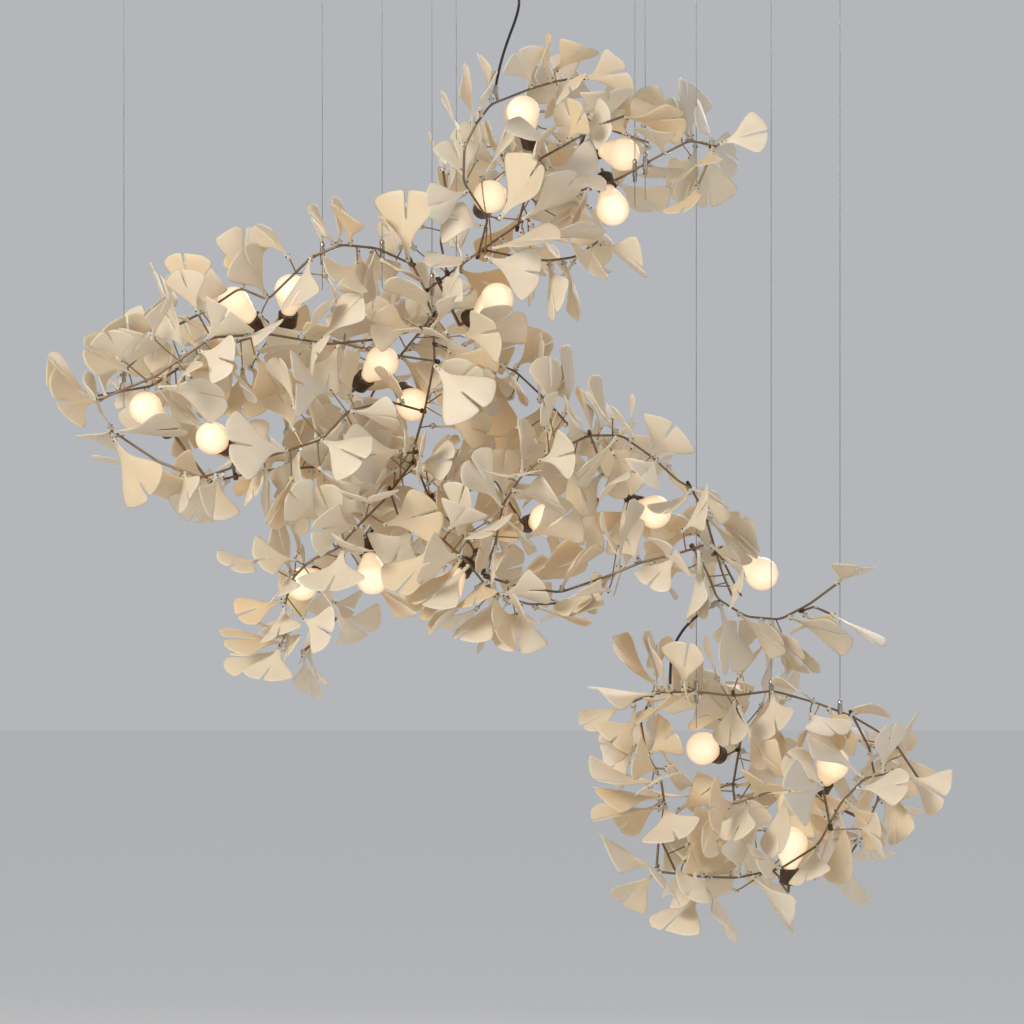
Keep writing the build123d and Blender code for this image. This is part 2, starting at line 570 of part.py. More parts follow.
# Cables, their grippers and ceiling anchors stand before the leaves
cables = []
for group, px, rod_name, side in cable_places_px:
    x = (px - centre_px) * pixel
    line = rod_lines[rod_name]
    best = None
    for spot in line_samples(line, rod_step):
        if best is None or abs(spot[0] - x) < abs(best[0] - x):
            best = spot
    found = nearest_on_line(line, best, False)
    across = unit(np.cross(found[2], np.array([0, 0, 1])))
    if across[1] * side < 0:
        across = -across
    reach = rod_radius + gripper_radius + branch_clearance
    spot = found[1] + across * reach
    cables.append((group, spot))
    top = np.array([spot[0], spot[1], -anchor_height])
    low = spot + np.array([0, 0, -gripper_length / 2 - cable_tail - height_travel])
    take("part", line_samples([top, low], rod_step), cable_radius, "cable")
    ends = [spot + np.array([0, 0, s * gripper_length / 2]) for s in (1, -1)]
    take("part", line_samples(ends, rod_step), gripper_radius + touch_spacing, group)

# Bulbs stand on stalks from their rods; one that meets a rod is moved or turned until it is free
def lamp_fits(globe, axis, line, group):
    back = globe - axis * (cap_end + fit_clearance + holder_floor + fit_clearance)
    elbow = back - axis * (2 * branch_tail)
    body = line_samples([globe, globe + axis * bulb_travel], sample_step / 2)
    neck = line_samples([back, globe - axis * bulb_radius], sample_step / 2)
    holder_reach = cap_radius + 2 * holder_wall
    if nearest_clearance("part", body, group) < bulb_radius + touch_spacing:
        return None
    if nearest_clearance("part", neck, group) < holder_reach:
        return None
    if nearest_clearance("lamp", body, group) < bulb_radius + touch_spacing:
        return None
    if nearest_clearance("lamp", neck, group) < holder_reach:
        return None
    found = nearest_on_line(line, elbow, False)
    away = unit(elbow - found[1])
    offset = unit(np.cross(found[2], away))
    for sign in (1, -1):
        seat = found[1] + sign * offset * (rod_radius + stalk_radius + branch_clearance)
        start = seat - branch_tail * unit(elbow - seat)
        samples = line_samples([start, elbow, back], rod_step)
        if nearest_clearance("part", samples, group) < stalk_radius + branch_clearance / 2:
            continue
        if nearest_clearance("lamp", samples, group) < stalk_radius + fit_clearance:
            continue
        if np.dot(unit(start - elbow), axis) > forward_share:
            continue
        return globe, back, [start, elbow, back]
    return None


bulbs = []
turns = random.Random(5)
for spray, centre, way, rod_name in bulb_places_px:
    group = rod_group[rod_name]
    given = np.array([way[0], way[2], way[1]])
    accepted = None
    for attempt in range(240):
        nudge = (attempt % 12) * (1 if attempt % 2 else -1) / 2
        globe = place(*centre) + np.array([0, nudge * depth_nudge, 0])
        wander = np.array([turns.uniform(-1, 1) for i in range(3)]) * min(1.0, attempt / 60)
        axis = unit(given + wander)
        lines = [rod_lines[rod_name]]
        if attempt > 60:
            lines = [line for name, line in rod_lines.items() if rod_group[name] == group]
            lines.sort(key=lambda line: nearest_on_line(line, globe - axis * cap_end, False)[0])
            lines = lines[:3]
        for line in lines:
            accepted = lamp_fits(globe, axis, line, group)
            if accepted is not None:
                break
        if accepted is not None:
            break
    if accepted is None:
        print("bulb left out:", spray, centre)
        continue
    globe, back, stalk = accepted
    bulbs.append((spray, group, globe, axis, stalk))
    body = line_samples([globe, globe + axis * bulb_travel], sample_step)
    take("lamp", body, bulb_radius, group)
    neck = line_samples([back, globe - axis * bulb_shoulder], sample_step)
    take("lamp", neck, cap_radius + 2 * holder_wall, group)
    take("part", line_samples(stalk, rod_step), stalk_radius, group)

# Leads: from the terminal block to the top spray, and from the tail to the hanging pod
power_route_px = [(519, -21, 0), (519, 8, 0), (505, 50, -22), (498, 78, -38), (496, 92, -48)]
link_route_px = [(710, 606, -19), (691, 618, -14), (674, 642, -8), (670, 664, -4), (670, 684, -5)]
power_line = [place(*p) for p in power_route_px]
power_line[0][2] = -plate_thickness - terminal_height - fit_clearance
link_line = [place(*p) for p in link_route_px]
take("part", line_samples(power_line, rod_step), lead_radius + touch_spacing, "cable")
take("part", line_samples(link_line, rod_step), lead_radius + touch_spacing, "cable")


# A closed sleeve caps a lead's end, and a peg from its side holds it on the nearest rod
def end_sleeve(tip, before, group):
    way = unit(tip - before)
    start = tip + way * fit_clearance
    middle = start + way * sleeve_length / 2
    nearest = None
    for name, rod in rod_lines.items():
        if rod_group[name] != group:
            continue
        here = nearest_on_line(rod, middle, False)
        if nearest is None or here[0] < nearest[0]:
            nearest = here
    gap = unit(nearest[1] - middle)
    along = abs(np.dot(gap, way))
    leave = min(sleeve_radius / math.sqrt(1 - along * along), sleeve_length / 2 / max(along, 0.01))
    inner = middle + gap * (leave + fit_clearance / 2)
    outer = nearest[1] - gap * (rod_radius + fit_clearance)
    end = start + way * sleeve_length
    take("part", line_samples([start, end], rod_step), sleeve_radius, group)
    take("part", line_samples([inner, outer], rod_step), stalk_radius, group)
    return start, end, [inner, outer]


sleeves = {
    "power_sleeve": end_sleeve(power_line[-1], power_line[-2], "upper"),
    "link_sleeve_upper": end_sleeve(link_line[0], link_line[1], "upper"),
    "link_sleeve_lower": end_sleeve(link_line[-1], link_line[-2], "lower"),
}


# Leaves: each one is leaned, rolled and nudged until it stands clear of its neighbours
def leaf_axes(stem, edge, seen_width, size, lean, roll_sign, roll_more, swing):
    flat = edge - stem
    flat[1] = 0
    length = leaf_lengths[size]
    seen = min(np.linalg.norm(flat), 0.985 * length)
    across = unit(np.array([-flat[2], 0, flat[0]]))
    flat = unit(flat) * math.cos(swing) + across * math.sin(swing)
    deep = math.sqrt(length * length - seen * seen)
    along = unit(flat * seen + np.array([0, lean * deep, 0]))
    level = unit(np.cross(along, np.array([0, 1, 0])))
    upright = np.cross(along, level)
    share = min(1.0, seen_width * pixel / (leaf_width_share * length))
    roll = roll_sign * math.acos(share) + roll_more
    side = math.cos(roll) * level + math.sin(roll) * upright
    normal = np.cross(along, side)
    if normal[1] > 0:
        normal = -normal
        side = -side
    return along, side, normal


def stem_box(base, along, side, normal, length):
    points = []
    for step in range(10):
        u = near_base * step / 9
        half = np.interp(u, [0, flank_shares[0] * length], [stem_half_width, flank_shares[1] * length])
        for v in np.linspace(-1, 1, 9):
            for w in (-1, -0.5, 0, 0.5, 1):
                if step == 0 or abs(v) == 1 or abs(w) == 1:
                    points.append(base + u * along + v * half * side + w * leaf_thickness / 2 * normal)
    return np.array(points)


# Slides a leaf's stem off its rod until it just clears the rod's flats
def seated(base, along, side, normal, length, slide_way, stretches):
    low = 0.0
    high = near_base
    box = stem_box(base, along, side, normal, length)
    for i in range(12):
        middle = (low + high) / 2
        moved = box + slide_way * middle
        gap = min(distance_to_prism(moved, first, last) for first, last in stretches)
        if gap < seat_clearance:
            low = middle
        else:
            high = middle
    return base + slide_way * high


def try_leaf(group, stem, edge, seen_width, size, kind, lean, roll_sign, roll_more, swing):
    along, side, normal = leaf_axes(stem, edge, seen_width, size, lean, roll_sign, roll_more, swing)
    length = leaf_lengths[size]
    found = None
    for name, line in rod_lines.items():
        if rod_group[name] != group:
            continue
        here = nearest_on_line(line, stem, False)
        if found is None or here[0] < found[0]:
            found = here
            rod_name = name
    distance, spot, way, index = found
    if distance > longest_twig:
        return None
    twig = None
    if distance < direct_reach:
        perp = along - np.dot(along, way) * way
        if np.linalg.norm(perp) < 0.35:
            return None
        slide = unit(perp)
        start = spot + slide * rod_radius
        rings = rod_corners[rod_name][max(0, index - 1):index + 3]
        base = seated(start, along, side, normal, length, slide, list(zip(rings, rings[1:])))
        seat_owner = rod_name
    else:
        away = unit(stem - spot)
        if np.dot(away, along) < 0.15:
            return None
        offset = unit(np.cross(way, away))
        seat = spot + offset * (rod_radius + twig_radius + branch_clearance)
        away = unit(stem - seat)
        twig = [seat - branch_tail * away, stem]
        corners = np.concatenate(rod_rings(twig, twig_radius, twig_sides))
        base = stem + along * (np.max((corners - stem) @ along) + seat_clearance)
        seat_owner = None
    local = leaf_points[(size, kind)]
    world = base + local[:, :1] * along + local[:, 1:2] * side + local[:, 2:] * normal
    far = world[local[:, 0] >= near_base]
    if nearest_clearance("leaf", world, group) < leaf_spacing:
        return None
    if nearest_clearance("lamp", world, group) < part_spacing:
        return None
    if nearest_clearance("part", far, group) < part_spacing:
        return None
    box = stem_box(base, along, side, normal, length)
    if nearest_clearance("part", box, group, seat_owner) < stem_spacing:
        return None
    if twig is not None:
        samples = line_samples(twig, rod_step)
        if nearest_clearance("leaf", samples, group) < part_spacing:
            return None
        if nearest_clearance("lamp", samples, group) < twig_radius + fit_clearance:
            return None
        beyond = samples[np.linalg.norm(samples - twig[0], axis=1) > 2 * branch_tail]
        if len(beyond) and nearest_clearance("part", beyond, group) < twig_radius + fit_clearance:
            return None
        if nearest_clearance("part", samples, group) < twig_radius + branch_clearance / 2:
            return None
        if distance_to_segment(far, twig[0], twig[1]) < part_spacing:
            return None
    return base, along, side, normal, world, twig


leaves = []
twigs = []


def add_leaf(spray, group, stem, edge, seen_width, size, kind, lean, tries, chance):
    for attempt in range(tries):
        if attempt == 0:
            change = (0, 0, 1, 0, 0)
        else:
            change = (chance.uniform(-3, 3), chance.choice((-1, 0, 1)), chance.choice((1, -1)),
                      chance.uniform(-0.6, 0.6), chance.uniform(-0.3, 0.3))
        moved = stem + np.array([0, change[0] * depth_nudge, 0])
        if attempt > tries / 2:
            moved = moved + np.array([change[1] * depth_nudge, 0, change[3] * depth_nudge * 2])
        way = lean
        if attempt % 3 == 2:
            way = -lean
        shape = (kind + attempt) % len(cup_shares)
        result = try_leaf(group, moved, edge, seen_width, size, shape, way, change[2], change[3], change[4])
        if result is not None:
            base, along, side, normal, world, twig = result
            leaves.append((spray, size, shape, base, along, normal))
            take("leaf", world, 0, group)
            if twig is not None:
                twigs.append((spray, twig))
                take("part", line_samples(twig, rod_step), twig_radius, group)
            return True
    return False


def pick_size(seen, seen_width, row):
    for size in range(len(leaf_lengths)):
        long_enough = leaf_lengths[size] > seen * pixel
        wide_enough = leaf_width_share * leaf_lengths[size] > seen_width * pixel
        if long_enough and wide_enough:
            return size
    return len(leaf_lengths) - 1


chance = random.Random(11)
lost = 0
for spray, group, rows in (("top", "upper", top_leaf_px), ("left", "upper", left_leaf_px),
                           ("right", "upper", right_leaf_px), ("pod", "lower", pod_leaf_px)):
    for row, (sx, sy, ex, ey, wide, depth) in enumerate(rows):
        stem = place(sx, sy, depth)
        edge = place(ex, ey, depth)
        size = pick_size(math.hypot(ex - sx, ey - sy), wide, row)
        lean = -1 if depth < 0 else 1
        done = add_leaf(spray, group, stem, edge, wide, size, row % len(cup_shares), lean, 26, chance)
        if not done:
            lost += 1
            print("leaf left out:", spray, row, (sx, sy))
print("read leaves", len(leaves), "left out", lost, "twigs", len(twigs))

# The solids of each node
nodes = {}


def put(node, solid):
    nodes.setdefault(node, []).append(solid)


for name, line in rod_lines.items():
    spray = "pod" if rod_group[name] == "lower" else "upper"
    if spray == "upper":
        if name.startswith("top") or name in ("rise", "tip_low"):
            spray = "top"
        elif name.startswith("right") or name.startswith("tail"):
            spray = "right"
        elif name == "trunk":
            spray = "trunk"
        elif name.startswith("heart"):
            spray = "heart"
        else:
            spray = "left"
    put("rods_" + spray, faceted_rod(line, rod_radius, rod_sides))

for spray, twig in twigs:
    put("twigs_" + spray, faceted_rod(twig, twig_radius, twig_sides))

leaf_count = {}
for spray, size, kind, base, along, normal in leaves:
    count = leaf_count.get(spray, 0)
    leaf_count[spray] = count + 1
    where = Plane(origin=Vector(*base), x_dir=Vector(*along), z_dir=Vector(*normal))
    put("leaves_" + spray + "_" + str(1 + count // 30), leaf_solids[(size, kind)].moved(where.location))

bulb_count = {}
inner_radius = (cap_radius + fit_clearance) / math.cos(math.pi / hexagon)
for spray, group, globe, axis, stalk in bulbs:
    bulb_count[spray] = bulb_count.get(spray, 0) + 1
    stations = [
        (-cap_end, cap_radius),
        (-bulb_neck, cap_radius),
        (-bulb_shoulder / 2, bulb_radius - fit_clearance * 3),
        (bulb_crown / 2, bulb_radius - fit_clearance * 3),
        (bulb_front, bulb_radius / 2),
    ]
    put("bulb_" + spray + "_" + str(bulb_count[spray]), faceted_turned(globe, axis, stations, octagon))
    floor = -cap_end - fit_clearance
    outer = faceted_turned(globe, axis, [(floor - holder_floor, inner_radius + holder_wall),
                                         (floor + holder_depth, inner_radius + holder_wall)], hexagon)
    inner = faceted_turned(globe, axis, [(floor, inner_radius),
                                         (floor + holder_depth + holder_floor, inner_radius)], hexagon)
    put("lampholders_" + spray, outer - inner)
    put("rods_" + spray, faceted_rod(stalk, stalk_radius, stalk_sides))

up = np.array([0.0, 0.0, 1.0])
bore_radius = cable_radius + fit_clearance
for group, spot in cables:
    low = np.array([spot[0], spot[1], spot[2] - gripper_length / 2 - cable_tail])
    top = np.array([spot[0], spot[1], -anchor_height - fit_clearance])
    put("cables_" + group, faceted_rod([low, top], cable_radius, hexagon))
    barrel = faceted_turned(spot, up, [(-gripper_length / 2, gripper_radius),
                                       (gripper_length / 2, gripper_radius)], hexagon)
    bore = faceted_turned(spot, up, [(-gripper_length, bore_radius), (gripper_length, bore_radius)], hexagon)
    put("grippers_" + group, barrel - bore)
    ceiling = np.array([spot[0], spot[1], 0.0])
    put("ceiling_anchors", faceted_turned(ceiling, up, [(-anchor_height, anchor_radius), (0, anchor_radius)],
                                          hexagon))

# Leads, and the sleeves that hold their ends
put("power_lead", faceted_rod(power_line, lead_radius, hexagon))
put("link_lead", faceted_rod(link_line, lead_radius, hexagon))
for node, (start, end, peg) in sleeves.items():
    put(node, faceted_rod([start, end], sleeve_radius, hexagon))
    put(node, faceted_rod(peg, stalk_radius, stalk_sides))

# Canopy: plate on the ceiling, cover on its two studs with their nuts, terminal block
down = (Align.CENTER, Align.CENTER, Align.MAX)
plate = faceted_turned(np.array([0, 0, 0]), -up, [(0, plate_radius), (plate_thickness, plate_radius)],
                       rim_sides)
for side in (-1, 1):
    plate -= Pos(side * plate_hole_spacing / 2, 0, 0) * Cylinder(plate_hole_radius, 4 * plate_thickness)
plate -= Cylinder(plate_wire_hole, 4 * plate_thickness)
put("ceiling_plate", plate)
cover = faceted_turned(np.array([0, 0, 0]), -up, [(0, canopy_radius), (canopy_height, canopy_radius)],
                       rim_sides)
cover -= faceted_turned(np.array([0, 0, 0]), -up,
                        [(-canopy_wall, canopy_radius - canopy_wall),
                         (canopy_height - canopy_wall, canopy_radius - canopy_wall)], rim_sides)
for side in (-1, 1):
    stud_y = side * cover_stud_spacing / 2
    stud = faceted_turned(np.array([0, stud_y, -plate_thickness]), -up,
                          [(0, cover_stud_radius), (canopy_height + nut_height - plate_thickness,
                                                    cover_stud_radius)], hexagon)
    put("cover_studs", stud)
    cover -= faceted_turned(np.array([0, stud_y, -canopy_height]), up,
                            [(-canopy_wall, cover_stud_radius + cover_hole_clearance),
                             (2 * canopy_wall, cover_stud_radius + cover_hole_clearance)], hexagon)
    where = np.array([0, stud_y, -canopy_height - fit_clearance])
    nut = faceted_turned(where, -up, [(0, nut_radius), (nut_height, nut_radius)], hexagon)
    nut -= faceted_turned(where, -up, [(-nut_height, cover_stud_radius + fit_clearance / 2),
                                       (2 * nut_height, cover_stud_radius + fit_clearance / 2)], hexagon)
    put("cover_nuts", nut)
cover -= faceted_turned(np.array([0, 0, -canopy_height]), up,
                        [(-canopy_wall, lead_radius + 2 * cover_hole_clearance),
                         (2 * canopy_wall, lead_radius + 2 * cover_hole_clearance)], hexagon)
put("canopy_cover", cover)
put("terminal_block", Pos(terminal_width / 4, 0, -plate_thickness)
    * Box(terminal_width, terminal_depth, terminal_height, align=down))

os.makedirs("parts", exist_ok=True)
for node, solids in nodes.items():
    shape = solids[0] if len(solids) == 1 else Compound(children=solids)
    export_step(shape, "parts/" + node + ".step")
print("nodes", len(nodes), "leaves", len(leaves), "bulbs", len(bulbs), "rods", len(rod_lines))
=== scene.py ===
import json
import math
import random

import bmesh
import bpy
import numpy as np
from mathutils import Matrix, Vector
from mathutils.kdtree import KDTree

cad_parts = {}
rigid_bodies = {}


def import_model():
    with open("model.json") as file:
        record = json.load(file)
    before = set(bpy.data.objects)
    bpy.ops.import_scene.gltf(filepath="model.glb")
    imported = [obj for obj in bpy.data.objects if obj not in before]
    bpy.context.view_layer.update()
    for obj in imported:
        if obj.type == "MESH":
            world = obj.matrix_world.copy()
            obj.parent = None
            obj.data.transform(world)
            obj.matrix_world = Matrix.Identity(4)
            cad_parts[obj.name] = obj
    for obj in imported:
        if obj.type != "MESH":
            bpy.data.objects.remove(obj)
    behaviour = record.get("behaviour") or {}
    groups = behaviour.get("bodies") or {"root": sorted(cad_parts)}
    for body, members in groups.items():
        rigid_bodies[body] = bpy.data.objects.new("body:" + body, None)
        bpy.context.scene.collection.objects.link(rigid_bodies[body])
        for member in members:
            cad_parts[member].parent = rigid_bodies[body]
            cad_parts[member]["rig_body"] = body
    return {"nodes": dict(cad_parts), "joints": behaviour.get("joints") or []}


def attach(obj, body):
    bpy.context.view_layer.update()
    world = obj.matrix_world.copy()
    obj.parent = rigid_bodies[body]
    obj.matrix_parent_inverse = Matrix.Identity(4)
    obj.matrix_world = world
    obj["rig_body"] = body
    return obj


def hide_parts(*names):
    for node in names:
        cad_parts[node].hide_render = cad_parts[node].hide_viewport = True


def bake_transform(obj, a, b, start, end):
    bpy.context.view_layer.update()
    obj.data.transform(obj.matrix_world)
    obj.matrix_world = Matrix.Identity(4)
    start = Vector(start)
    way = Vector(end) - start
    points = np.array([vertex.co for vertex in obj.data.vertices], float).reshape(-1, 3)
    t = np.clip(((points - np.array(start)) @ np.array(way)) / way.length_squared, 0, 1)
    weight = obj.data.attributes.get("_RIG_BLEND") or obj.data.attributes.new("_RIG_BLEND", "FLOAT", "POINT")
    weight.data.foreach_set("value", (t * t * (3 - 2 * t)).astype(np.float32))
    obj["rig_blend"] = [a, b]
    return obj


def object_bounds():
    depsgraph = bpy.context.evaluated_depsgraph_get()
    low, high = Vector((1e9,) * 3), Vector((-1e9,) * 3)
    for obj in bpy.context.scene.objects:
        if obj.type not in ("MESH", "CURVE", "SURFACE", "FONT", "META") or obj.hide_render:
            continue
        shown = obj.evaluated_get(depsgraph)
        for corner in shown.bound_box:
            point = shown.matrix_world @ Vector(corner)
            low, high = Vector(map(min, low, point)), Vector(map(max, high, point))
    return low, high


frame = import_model()
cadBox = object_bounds()
cadNodes = frame["nodes"]
mm = 0.001
mergeReach = 0.01 * mm    # corners nearer than this are one
view = {
    "target": (-0.0126, 0, -0.9747), "distance": 12.0, "frameWidth": 1.8414, "sensor": 36.0, "farEnd": 200,
    "pixel": 1.8414 / 1024, "centre": (519, -30),    # the picture place of the frame's origin
}
print("frame loaded:", len(cadNodes), "nodes")


# Small helpers for colours, shader nodes and pieces
def linearColour(hexText):
    channels = [int(hexText[i:i + 2], 16) / 255 for i in (1, 3, 5)]
    return [c / 12.92 if c <= 0.04045 else ((c + 0.055) / 1.055) ** 2.4 for c in channels] + [1.0]


def addNode(tree, kind, settings=None, links=None):
    node = tree.nodes.new(kind)
    for name, value in (settings or {}).items():
        if isinstance(name, int):
            node.inputs[name].default_value = value
        elif hasattr(node, name):
            setattr(node, name, value)
        else:
            node.inputs[name].default_value = value
    for name, source in (links or {}).items():
        tree.links.new(source, node.inputs[name])
    return node


def startMaterial(name, settings):
    material = bpy.data.materials.new(name)
    material.use_nodes = True
    tree = material.node_tree
    shader = tree.nodes["Principled BSDF"]
    for socket, value in settings.items():
        shader.inputs[socket].default_value = value
    place = addNode(tree, "ShaderNodeTexCoord").outputs["Object"]
    return material, tree, shader, place


def blendColours(tree, factor, first, second):
    colours = {"data_type": "RGBA", 6: linearColour(first), 7: linearColour(second)}
    return addNode(tree, "ShaderNodeMix", colours, {0: factor}).outputs[2]


def addGrain(tree, shader, place, grainSize, depth):
    grain = addNode(tree, "ShaderNodeTexNoise", {"Scale": 1 / grainSize, "Detail": 3.0}, {"Vector": place})
    bump = addNode(tree, "ShaderNodeBump", {"Strength": 0.35, "Distance": depth},
                   {"Height": grain.outputs["Fac"]})
    tree.links.new(bump.outputs["Normal"], shader.inputs["Normal"])
    return grain.outputs["Fac"]


def varyRoughness(tree, shader, source, low, high):
    spread = addNode(tree, "ShaderNodeMapRange", {"To Min": low, "To Max": high}, {"Value": source})
    tree.links.new(spread.outputs["Result"], shader.inputs["Roughness"])


def paintClouds(tree, shader, place, cloudSize, detail, light, dark):
    clouds = addNode(tree, "ShaderNodeTexNoise", {"Scale": 1 / cloudSize, "Detail": detail},
                     {"Vector": place})
    tree.links.new(blendColours(tree, clouds.outputs["Fac"], light, dark), shader.inputs["Base Color"])


def pieceFromBmesh(name, bm, smoothAngle=None):
    mesh = bpy.data.meshes.new(name)
    bm.to_mesh(mesh)
    bm.free()
    return pieceFromMesh(name, mesh, smoothAngle)


def pieceFromMesh(name, mesh, smoothAngle=None):
    mesh.name = name
    for polygon in mesh.polygons:
        polygon.use_smooth = True
    if smoothAngle is not None:
        mesh.set_sharp_from_angle(angle=smoothAngle)
    piece = bpy.data.objects.new(name, mesh)
    bpy.context.scene.collection.objects.link(piece)
    return piece


def addCopy(bm, mesh, matrix):
    before = len(bm.verts)
    bm.from_mesh(mesh)
    bm.verts.ensure_lookup_table()
    bmesh.ops.transform(bm, matrix=matrix, verts=bm.verts[before:])


def pieceFromCopies(name, form, places, smoothAngle=None):
    bm = bmesh.new()
    for place in places:
        addCopy(bm, form, place)
    return pieceFromBmesh(name, bm, smoothAngle)


def forBothGroups(make):
    return {body: make() for body in ("upper_group", "lower_group")}


def settle(piece, body, material, nodes=()):
    piece.data.materials.clear()
    piece.data.materials.append(material)
    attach(piece, body)
    if nodes:
        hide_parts(*nodes)
    return piece


# Materials, each from what the real one is made of and how
porcelainLook = {
    "base": "#F4EBDC",       # bone china, warm ivory
    "shade": "#E5D8C2",      # where the body is thicker or fired darker
    "blush": "#EBCF9D",      # leaves that fired to a honey tone
    "speckle": "#B7A88F",    # tiny iron specks in the clay
    "cloudSize": 38 * mm,
    "speckleSize": 1.9 * mm,
    "speckleShare": 0.35,
    "speckleEdge": (0.05, 0.12),
    "warmFrom": 0.55,        # leaves with a tone above this turn to the honey colour
    "warmShare": 0.6,
    "skinSize": 1.1 * mm,
    "skinDepth": 0.12 * mm,
}


# Cast bone china with a satin unpolished skin: thin enough to glow where a lamp stands behind it
def bisquePorcelain(look):
    material, tree, shader, place = startMaterial("bisquePorcelain", {
        "IOR": 1.5, "Subsurface Weight": 0.55, "Subsurface Scale": 0.006,
        "Subsurface Radius": (1.0, 0.62, 0.34)})
    clouds = addNode(tree, "ShaderNodeTexNoise", {"Scale": 1 / look["cloudSize"], "Detail": 3.0},
                     {"Vector": place})
    body = blendColours(tree, clouds.outputs["Fac"], look["base"], look["shade"])
    tone = addNode(tree, "ShaderNodeAttribute", {"attribute_name": "leafTone"})
    warm = addNode(tree, "ShaderNodeMapRange",
                   {"From Min": look["warmFrom"], "From Max": 1.0, "To Max": look["warmShare"]},
                   {"Value": tone.outputs["Fac"]})
    tinted = addNode(tree, "ShaderNodeMix", {"data_type": "RGBA", 7: linearColour(look["blush"])},
                     {0: warm.outputs["Result"], 6: body})
    specks = addNode(tree, "ShaderNodeTexVoronoi", {"Scale": 1 / (3 * look["speckleSize"])},
                     {"Vector": place})
    inner, outer = look["speckleEdge"]
    dots = addNode(tree, "ShaderNodeMapRange",
                   {"From Min": inner, "From Max": outer, "To Min": look["speckleShare"], "To Max": 0.0},
                   {"Value": specks.outputs["Distance"]})
    speckled = addNode(tree, "ShaderNodeMix", {"data_type": "RGBA", 7: linearColour(look["speckle"])},
                       {0: dots.outputs["Result"], 6: tinted.outputs[2]})
    tree.links.new(speckled.outputs[2], shader.inputs["Base Color"])
    skin = addGrain(tree, shader, place, look["skinSize"], look["skinDepth"])
    varyRoughness(tree, shader, skin, 0.38, 0.54)
    return material


# Opal glass: white all through and frosted, so the lamp inside lights it evenly; its glow is painted darker
# and warmer towards the rim, a painted shade that rounds the globe
def opalGlass():
    material, tree, shader, place = startMaterial("opalGlass", {
        "IOR": 1.5, "Subsurface Weight": 0.2, "Subsurface Scale": 0.01, "Emission Strength": 0.85})
    # painted shade: the glow colour runs from #FFE9C4 where the surface faces the view to dark #9A6630 at
    # the rim
    rimPaintedShade = addNode(tree, "ShaderNodeLayerWeight", {"Blend": 0.4})
    tree.links.new(blendColours(tree, rimPaintedShade.outputs["Facing"], "#FFE9C4", "#9A6630"),
                   shader.inputs["Emission Color"])
    paintClouds(tree, shader, place, 22 * mm, 2.0, "#F2E6D2", "#E9DAC2")
    frost = addGrain(tree, shader, place, 0.9 * mm, 0.04 * mm)
    varyRoughness(tree, shader, frost, 0.26, 0.36)
    return material


# A metal rod or turned part: drawn, plated or painted, with fine drawing lines and rubbed places
def wornMetal(name, light, dark, roughness, metallic=1.0, grainSize=2.2 * mm, grainDepth=0.05 * mm):
    material, tree, shader, place = startMaterial(name, {"Metallic": metallic})
    paintClouds(tree, shader, place, 26 * mm, 4.0, light, dark)
    grain = addGrain(tree, shader, place, grainSize, grainDepth)
    varyRoughness(tree, shader, grain, roughness - 0.06, roughness + 0.08)
    return material


# Moulded plastic: even colour, a fine matt skin from the mould
def mouldedPlastic(name, light, dark, roughness):
    material, tree, shader, place = startMaterial(name, {"IOR": 1.46})
    paintClouds(tree, shader, place, 15 * mm, 2.0, light, dark)
    skin = addGrain(tree, shader, place, 0.8 * mm, 0.05 * mm)
    varyRoughness(tree, shader, skin, roughness - 0.05, roughness + 0.07)
    return material


porcelain = bisquePorcelain(porcelainLook)
opal = opalGlass()
rodMetal = wornMetal("patinatedBronzeSteel", "#A08A70", "#6E5E4D", 0.36)
twigMetal = wornMetal("drawnBrassWire", "#B39A74", "#8C775A", 0.34)
holderMetal = wornMetal("spunBronzeSteel", "#6E5F50", "#4C4239", 0.38)
screwMetal = wornMetal("blackenedScrewSteel", "#3A3632", "#26231F", 0.42)
cableMetal = wornMetal("strandedStainlessSteel", "#A9A9AA", "#8B8B8D", 0.3, grainSize=1.2 * mm)
nickel = wornMetal("platedNickelBrass", "#C2BCB2", "#A29C93", 0.24)
zinc = wornMetal("zincPlatedSteel", "#B4B6B8", "#95989B", 0.4)
coverPaint = wornMetal("powderCoatedSteel", "#5A4F45", "#4E443B", 0.48, metallic=0.0, grainDepth=0.09 * mm)
leadPlastic = mouldedPlastic("extrudedPvcJacket", "#3B3836", "#2E2C2A", 0.42)
terminalPlastic = mouldedPlastic("mouldedPolyamide", "#E4E2DA", "#D6D3C9", 0.5)
print("materials ready")


# Reading the frame: the loose pieces of a node, and the middles of a flat-sided rod's rings
def looseParts(nodeName):
    bm = bmesh.new()
    bm.from_mesh(cadNodes[nodeName].data)
    bmesh.ops.remove_doubles(bm, verts=bm.verts, dist=mergeReach)
    bm.verts.index_update()
    seen = set()
    parts = []
    for vert in bm.verts:
        if vert.index in seen:
            continue
        seen.add(vert.index)
        group = [vert]
        for member in group:
            for edge in member.link_edges:
                other = edge.other_vert(member)
                if other.index not in seen:
                    seen.add(other.index)
                    group.append(other)
        points = [v.co.copy() for v in group]
        number = {v.index: i for i, v in enumerate(group)}
        edges = [(number[e.verts[0].index], number[e.verts[1].index]) for v in group for e in v.link_edges
                 if e.verts[0] == v]
        parts.append((points, edges))
    bm.free()
    return parts


def middle(points):
    return sum(points, Vector()) / len(points)


ringReach = 6.5 * mm    # the corners of one ring lie nearer to each other than this


